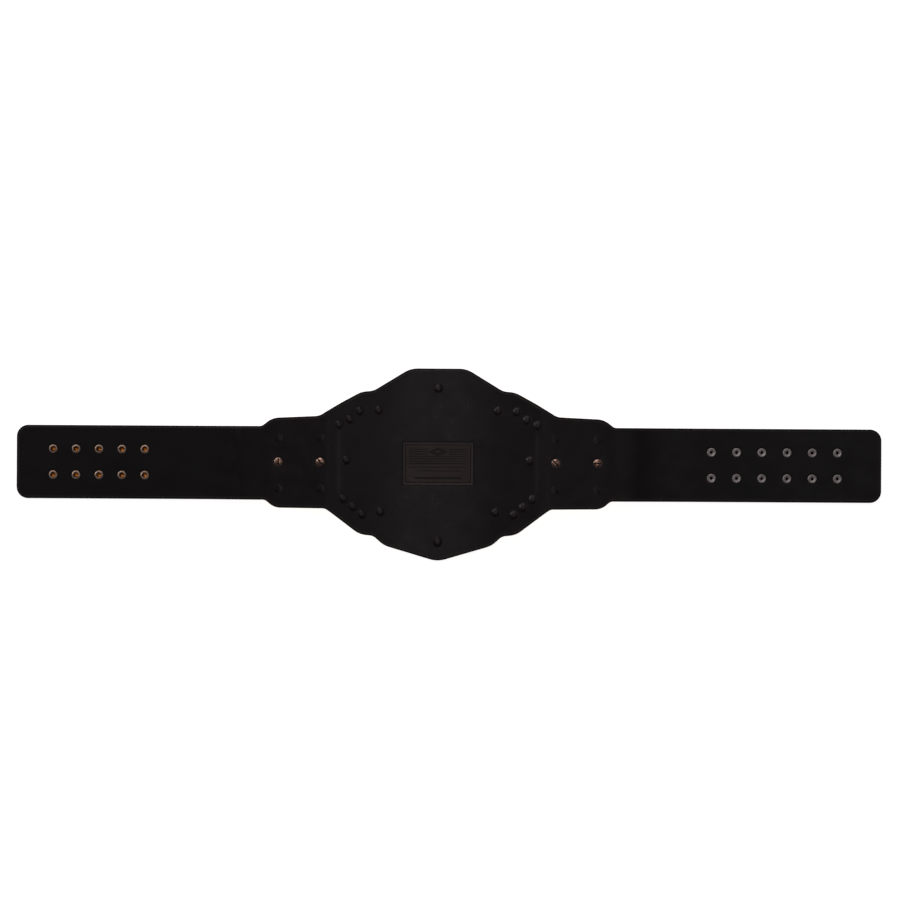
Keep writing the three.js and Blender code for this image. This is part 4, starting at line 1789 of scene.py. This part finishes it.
@dataclass
class Snaps:
    """The press snaps: sockets with their caps on one end, studs with their eyelets on the other."""

    lie: Lie
    fastenings: Fastenings
    foot: float = 5.1
    socket_radius: float = 6.3
    socket_top: float = 8.6
    mouth_radius: float = 3.6
    cup_floor: float = 5.9
    bowl_radius: float = 1.6
    barrel_radius: float = 2.4
    barrel_top: float = 6.6
    cap_radius: float = 6.6
    cap_front: float = -2.0
    eyelet_radius: float = 6.5
    eyelet_top: float = 7.2
    hole_radius: float = 2.0
    stud_radius: float = 5.6
    stud_base: float = -1.2
    stud_neck: float = 2.5
    stud_front: float = -3.9
    flare_shift: tuple[float, float] = (0.75, -0.35)
    ovalities: tuple[float, ...] = (0.0, 0.02, 0.035)
    cap_turn: float = 1.2
    tilt_degrees: float = 1.6
    seed: int = 7

    def _socket(self) -> bpy.types.Mesh:
        """Turns the ring that a stud clicks into: a rolled outer edge, a lip and a cup.

        Returns:
            Its mesh, with the cup's wall in the second material, which paints shade there.
        """
        roll = 0.75
        bore = self.barrel_radius + 0.15
        mesh = turned(
            "snap_socket",
            [
                (bore, self.foot),
                (self.socket_radius - 0.2, self.foot),
                (self.socket_radius, self.foot + 0.3),
                *Arc(self.socket_radius - roll, self.socket_top - 1.5, roll, 0, 70).points(),
                *Arc(self.mouth_radius + 0.75, self.socket_top - 0.75, 0.75, 90, 185).points(),
                *Arc(bore - 0.6, self.socket_top - 0.9, self.bowl_radius, -5, -60, 8).points()[1:],
                (bore, self.cup_floor),
                (bore, self.foot),
            ],
        )
        # The cup's wall takes the second material, painted shade.
        for face in mesh.polygons:
            reach = math.hypot(face.center.x, face.center.y) / MM
            inner = reach < self.mouth_radius - 0.05 and face.center.z / MM > self.cup_floor - 0.5
            face.material_index = int(inner)
        return mesh

    def _cap(self) -> bpy.types.Mesh:
        """Turns the cap on the front, and the barrel whose flared end shows in the socket.

        Returns:
            Its mesh, with the barrel in the second material.
        """
        flare = self.barrel_radius
        mesh = turned(
            "snap_cap",
            [
                (0, self.cap_front),
                (self.cap_radius * 0.62, self.cap_front + 0.08),
                (self.cap_radius * 0.9, self.cap_front + 0.6),
                (self.cap_radius, -0.6),
                (self.cap_radius - 0.1, -0.3),
                (flare, -0.3),
                (flare, self.cup_floor - 0.1),
                (flare + 0.1, self.cup_floor + 0.05),
                *Arc(flare - 0.25, self.barrel_top - 0.3, 0.35, 0, 120).points(),
                (flare * 0.7, self.barrel_top - 0.32),
                (flare * 0.45, self.barrel_top - 0.62),
                (flare * 0.2, self.barrel_top - 0.75),
                (0, self.barrel_top - 0.8),
            ],
        )
        shift = Vector((*self.flare_shift, 0)) * MM
        for vertex in mesh.vertices:
            if vertex.co.z > (self.cup_floor - 0.2) * MM:
                vertex.co += shift
        for face in mesh.polygons:
            face.material_index = int(face.center.z > 0)
        return mesh

    def _eyelet(self, ovality: float) -> bpy.types.Mesh:
        """Turns the rolled, dished flange on the lining, round the hole of its barrel.

        Args:
            ovality: How much longer it is along the belt than across, as a share.

        Returns:
            Its mesh, with the hole's wall in the second material, which paints shade there.
        """
        mesh = turned(
            "snap_eyelet",
            [
                (0, 0.6),
                (self.barrel_radius, 0.6),
                (self.barrel_radius, self.foot),
                (self.eyelet_radius - 0.15, self.foot),
                (self.eyelet_radius, self.foot + 0.4),
                *Arc(self.eyelet_radius - 1.35, self.eyelet_top - 1.2, 1.2, 15, 115).points(),
                (self.hole_radius + 2.0, self.eyelet_top - 0.5),
                *Arc(self.hole_radius + 0.9, self.eyelet_top - 2.1, 0.9, 60, 180).points(),
                (self.hole_radius, 1.2),
                (0, 1.2),
            ],
            ovality=ovality,
        )
        # The hole's wall takes the second material, painted shade.
        for face in mesh.polygons:
            reach, height = math.hypot(face.center.x, face.center.y) / MM, face.center.z / MM
            low = 1.0 < height < self.eyelet_top - 1.5
            face.material_index = int(low and reach < self.hole_radius + 0.35)
        return mesh

    def _stud(self) -> bpy.types.Mesh:
        """Turns the male half of a snap, on the front of the strap.

        Returns:
            Its mesh.
        """
        head = self.mouth_radius - 0.3
        return turned(
            "snap_stud",
            [
                (0, self.stud_front + 0.4),
                (head * 0.35, self.stud_front + 0.4),
                *Arc(head - 0.75, self.stud_front + 0.75, 0.75, -90, 30).points(),
                (self.stud_neck, self.stud_base - 0.4),
                (self.stud_neck + 0.3, self.stud_base),
                *Arc(self.stud_radius - 0.3, self.stud_base + 0.3, 0.3, -90, 0, 3).points(),
                (self.stud_radius, -0.3),
                (0, -0.3),
            ],
            32,
        )

    def _lean(self, chance: np.random.Generator, freedom: float) -> Matrix:
        """Leans a fitting by chance, as it was set by hand.

        Args:
            chance: Where the chance comes from.
            freedom: The whole angle in radians through which it may be turned about its axis.

        Returns:
            Its small tilt about its foot, and its turn.
        """
        tilt = math.radians(self.tilt_degrees) * chance.uniform(-1, 1, 2)
        turn = chance.uniform(-0.5, 0.5) * freedom
        pivot = Matrix.Translation((0, 0, self.foot * MM))
        tilted = Matrix.Rotation(tilt[0], 4, "X") @ Matrix.Rotation(tilt[1], 4, "Y")
        return pivot @ tilted @ pivot.inverted() @ Matrix.Rotation(turn, 4, "Z")

    def _seated(
        self,
        node: str,
        mesh: bpy.types.Mesh,
        finishes: Sequence[bpy.types.Material],
        lean: Matrix,
    ) -> bpy.types.Object:
        """Seats a copy of a fitting at its CAD node.

        Args:
            node: The CAD node.
            mesh: The fitting about its own axis.
            finishes: Its metals.
            lean: Its turn and tilt.

        Returns:
            The piece.
        """
        own = mesh.copy()
        own.transform(lean)
        own.transform(self.lie.seat(*self.lie.spot(node)))
        return dressed(node + "_stamped", own, finishes, [node])

    def build(self, metals: SnapMetals) -> list[bpy.types.Object]:
        """Builds all snaps.

        Args:
            metals: Their metals.

        Returns:
            The pieces.
        """
        chance = np.random.default_rng(self.seed)
        socket, cap, stud = self._socket(), self._cap(), self._stud()
        eyelets = [self._eyelet(ovality) for ovality in self.ovalities]
        pieces = []
        for i in range(1, self.fastenings.socket_count + 1):
            for node, mesh, inner, freedom in (
                # The sockets' cup walls take painted shade.
                (f"socket_{i:02d}", socket, metals.cup_shade, 2 * math.pi),
                (f"socket_cap_{i:02d}", cap, metals.bare, self.cap_turn),
            ):
                lean = self._lean(chance, freedom)
                pieces.append(self._seated(node, mesh, [metals.antique, inner], lean))
        # The eyelets' holes take painted shade.
        finishes = [metals.nickel, metals.hole_shade]
        for i in range(1, self.fastenings.stud_count + 1):
            lean = self._lean(chance, 2 * math.pi)
            eyelet = eyelets[i % len(eyelets)]
            pieces.append(self._seated(f"eyelet_{i:02d}", eyelet, finishes, lean))
            upright = Matrix.Identity(4)
            pieces.append(self._seated(f"stud_{i:02d}", stud, finishes, upright))
        return pieces


@dataclass(frozen=True)
class Lamp:
    """A soft box that faces the belt's middle, with its place and size in metres and its power."""

    name: str
    place: tuple[float, float, float]
    size: tuple[float, float]
    watts: float
    colour: str


@dataclass
class Studio:
    """A white table, soft lights and a camera that looks straight down."""

    lie: Lie
    mm_per_pixel: float = 1.4805
    frame_pixels: float = 900.0
    plate_pixel: tuple[float, float] = (438.0, 463.8)
    camera_height: float = 5.0
    belt_height: float = 0.009
    roll_degrees: float = 0.33
    sensor_width: float = 36.0
    floor_size: float = 30.0
    floor_height: float = -0.00005
    lamps: tuple[Lamp, ...] = (
        Lamp("strip_over_middle", (-0.02, 0.2, 1.3), (0.1, 2.0), 0.9, "fff0ee"),
        Lamp("soft_box_upper_left", (-0.7, 2.1, 1.7), (3.0, 1.6), 13.5, "fff6fa"),
        Lamp("panel_over_stud_end", (0.95, 0.2, 2.2), (0.8, 1.0), 0.65, "fffaf4"),
        Lamp("panel_over_socket_end", (-0.95, 0.2, 2.2), (0.8, 1.0), 0.35, "fffaf4"),
        Lamp("small_lamp_left", (-2.3, 0.8, 1.3), (0.8, 0.8), 5.5, "ffffff"),
    )
    room_colour: str = "fff3f9"
    room_across: tuple[float, float] = (-0.8, 0.8)
    across_light: tuple[float, float] = (0.01, 0.12)
    room_rise: tuple[float, float] = (0.1, 0.55)
    low_light: tuple[float, float] = (0.45, 0.0)

    def camera(self) -> bpy.types.Object:
        """Places the camera.

        Returns:
            The camera.
        """
        half = self.frame_pixels / 2
        right = (half - self.plate_pixel[0]) * self.mm_per_pixel * MM
        up = (self.plate_pixel[1] - half) * self.mm_per_pixel * MM
        turn = Matrix.Rotation(math.radians(self.roll_degrees), 4, "Z")
        middle = Vector(self.lie.place(np.array([[0.0, 0.0, 0.0]]))[0])
        aim = middle + turn @ Vector((right, up, 0))
        distance = self.camera_height - self.belt_height
        data = bpy.data.cameras.new("camera")
        data.sensor_width = self.sensor_width
        data.lens = self.sensor_width * distance / (self.frame_pixels * self.mm_per_pixel * MM)
        data.clip_end = 50.0
        camera = bpy.data.objects.new("camera", data)
        camera.matrix_world = Matrix.Translation((aim.x, aim.y, self.camera_height)) @ turn
        bpy.context.scene.collection.objects.link(camera)
        bpy.context.scene.camera = camera
        return camera

    def floor(self) -> bpy.types.Object:
        """Lays the table top, a white board that is lit from below too.

        Returns:
            The floor.
        """
        half = self.floor_size / 2
        mesh = bpy.data.meshes.new("floor")
        signs = ((-1, -1), (1, -1), (1, 1), (-1, 1))
        corners = [(x * half, y * half, self.floor_height) for x, y in signs]
        mesh.from_pydata(corners, [], [(0, 1, 2, 3)])
        material, tree = new_material("white_light_table")
        surfaced(
            tree,
            {
                "Base Color": linear("f2f2f2"),
                "Roughness": 0.7,
                "Specular IOR Level": 0.2,
                "Emission Color": linear("ffffff"),
                "Emission Strength": 0.9,
            },
        )
        mesh.materials.append(material)
        floor = bpy.data.objects.new("floor", mesh)
        bpy.context.scene.collection.objects.link(floor)
        return floor

    def light(self, lamp: Lamp) -> bpy.types.Object:
        """Hangs a soft box.

        Args:
            lamp: The soft box.

        Returns:
            The light.
        """
        data = bpy.data.lights.new(lamp.name, "AREA")
        data.shape = "RECTANGLE"
        data.size, data.size_y = lamp.size
        data.energy = lamp.watts
        data.color = linear(lamp.colour)[:3]
        light = bpy.data.objects.new(lamp.name, data)
        light.location = lamp.place
        light.rotation_euler = (-Vector(lamp.place)).to_track_quat("-Z", "Y").to_euler()
        bpy.context.scene.collection.objects.link(light)
        return light

    def surroundings(self) -> None:
        """Surrounds the studio with a room: dim overhead, lighter on one side and low down."""
        world = bpy.data.worlds.new("studio")
        world.use_nodes = True
        tree = world.node_tree
        tree.nodes.clear()
        toward = add_node(tree, "ShaderNodeTexCoord").outputs["Generated"]
        parts = add_node(tree, "ShaderNodeSeparateXYZ", {0: toward}).outputs
        across = ranged(tree, parts["Y"], self.room_across, self.across_light)
        low = ranged(tree, parts["Z"], self.room_rise, self.low_light)
        strength = add_node(tree, "ShaderNodeMath", {0: across, 1: low}, operation="ADD").outputs[0]
        inputs = {"Color": linear(self.room_colour), "Strength": strength}
        light = add_node(tree, "ShaderNodeBackground", inputs).outputs["Background"]
        add_node(tree, "ShaderNodeOutputWorld", {"Surface": light})
        bpy.context.scene.world = world

    def build(self) -> None:
        """Sets up the whole studio."""
        self.camera()
        self.floor()
        for lamp in self.lamps:
            self.light(lamp)
        self.surroundings()
        bpy.context.scene.view_settings.view_transform = "Standard"


def main() -> None:
    """Builds the belt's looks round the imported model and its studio."""
    logging.basicConfig(level=logging.INFO, format="%(name)s: %(message)s")
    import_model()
    outline = Outline()
    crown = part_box("lining")[1].y / MM
    lie = Lie(middle_y=crown - outline.crown_height)
    Studio(lie).build()
    fastenings = Fastenings(lie, outline)
    leathers = Leathers(lie, outline, fastenings)
    leathers.strap(DyedLeather("black_strap_leather", grain_height_mm=0.08).material())
    leathers.lining(DyedLeather("black_lining_leather").material())
    Plates(lie, outline, fastenings).build(GOLD_PLATE.material())
    Screws(lie, fastenings).build(ROSE_BRASS.material(), PAINTED_SHADE_BRASS.material())
    metals = (ANTIQUE_BRASS, PAINTED_SHADE_BRASS, BARE_BRASS, DARK_NICKEL, PAINTED_SHADE_STEEL)
    Snaps(lie, fastenings).build(SnapMetals(*(metal.material() for metal in metals)))


if __name__ == "__main__":
    main()
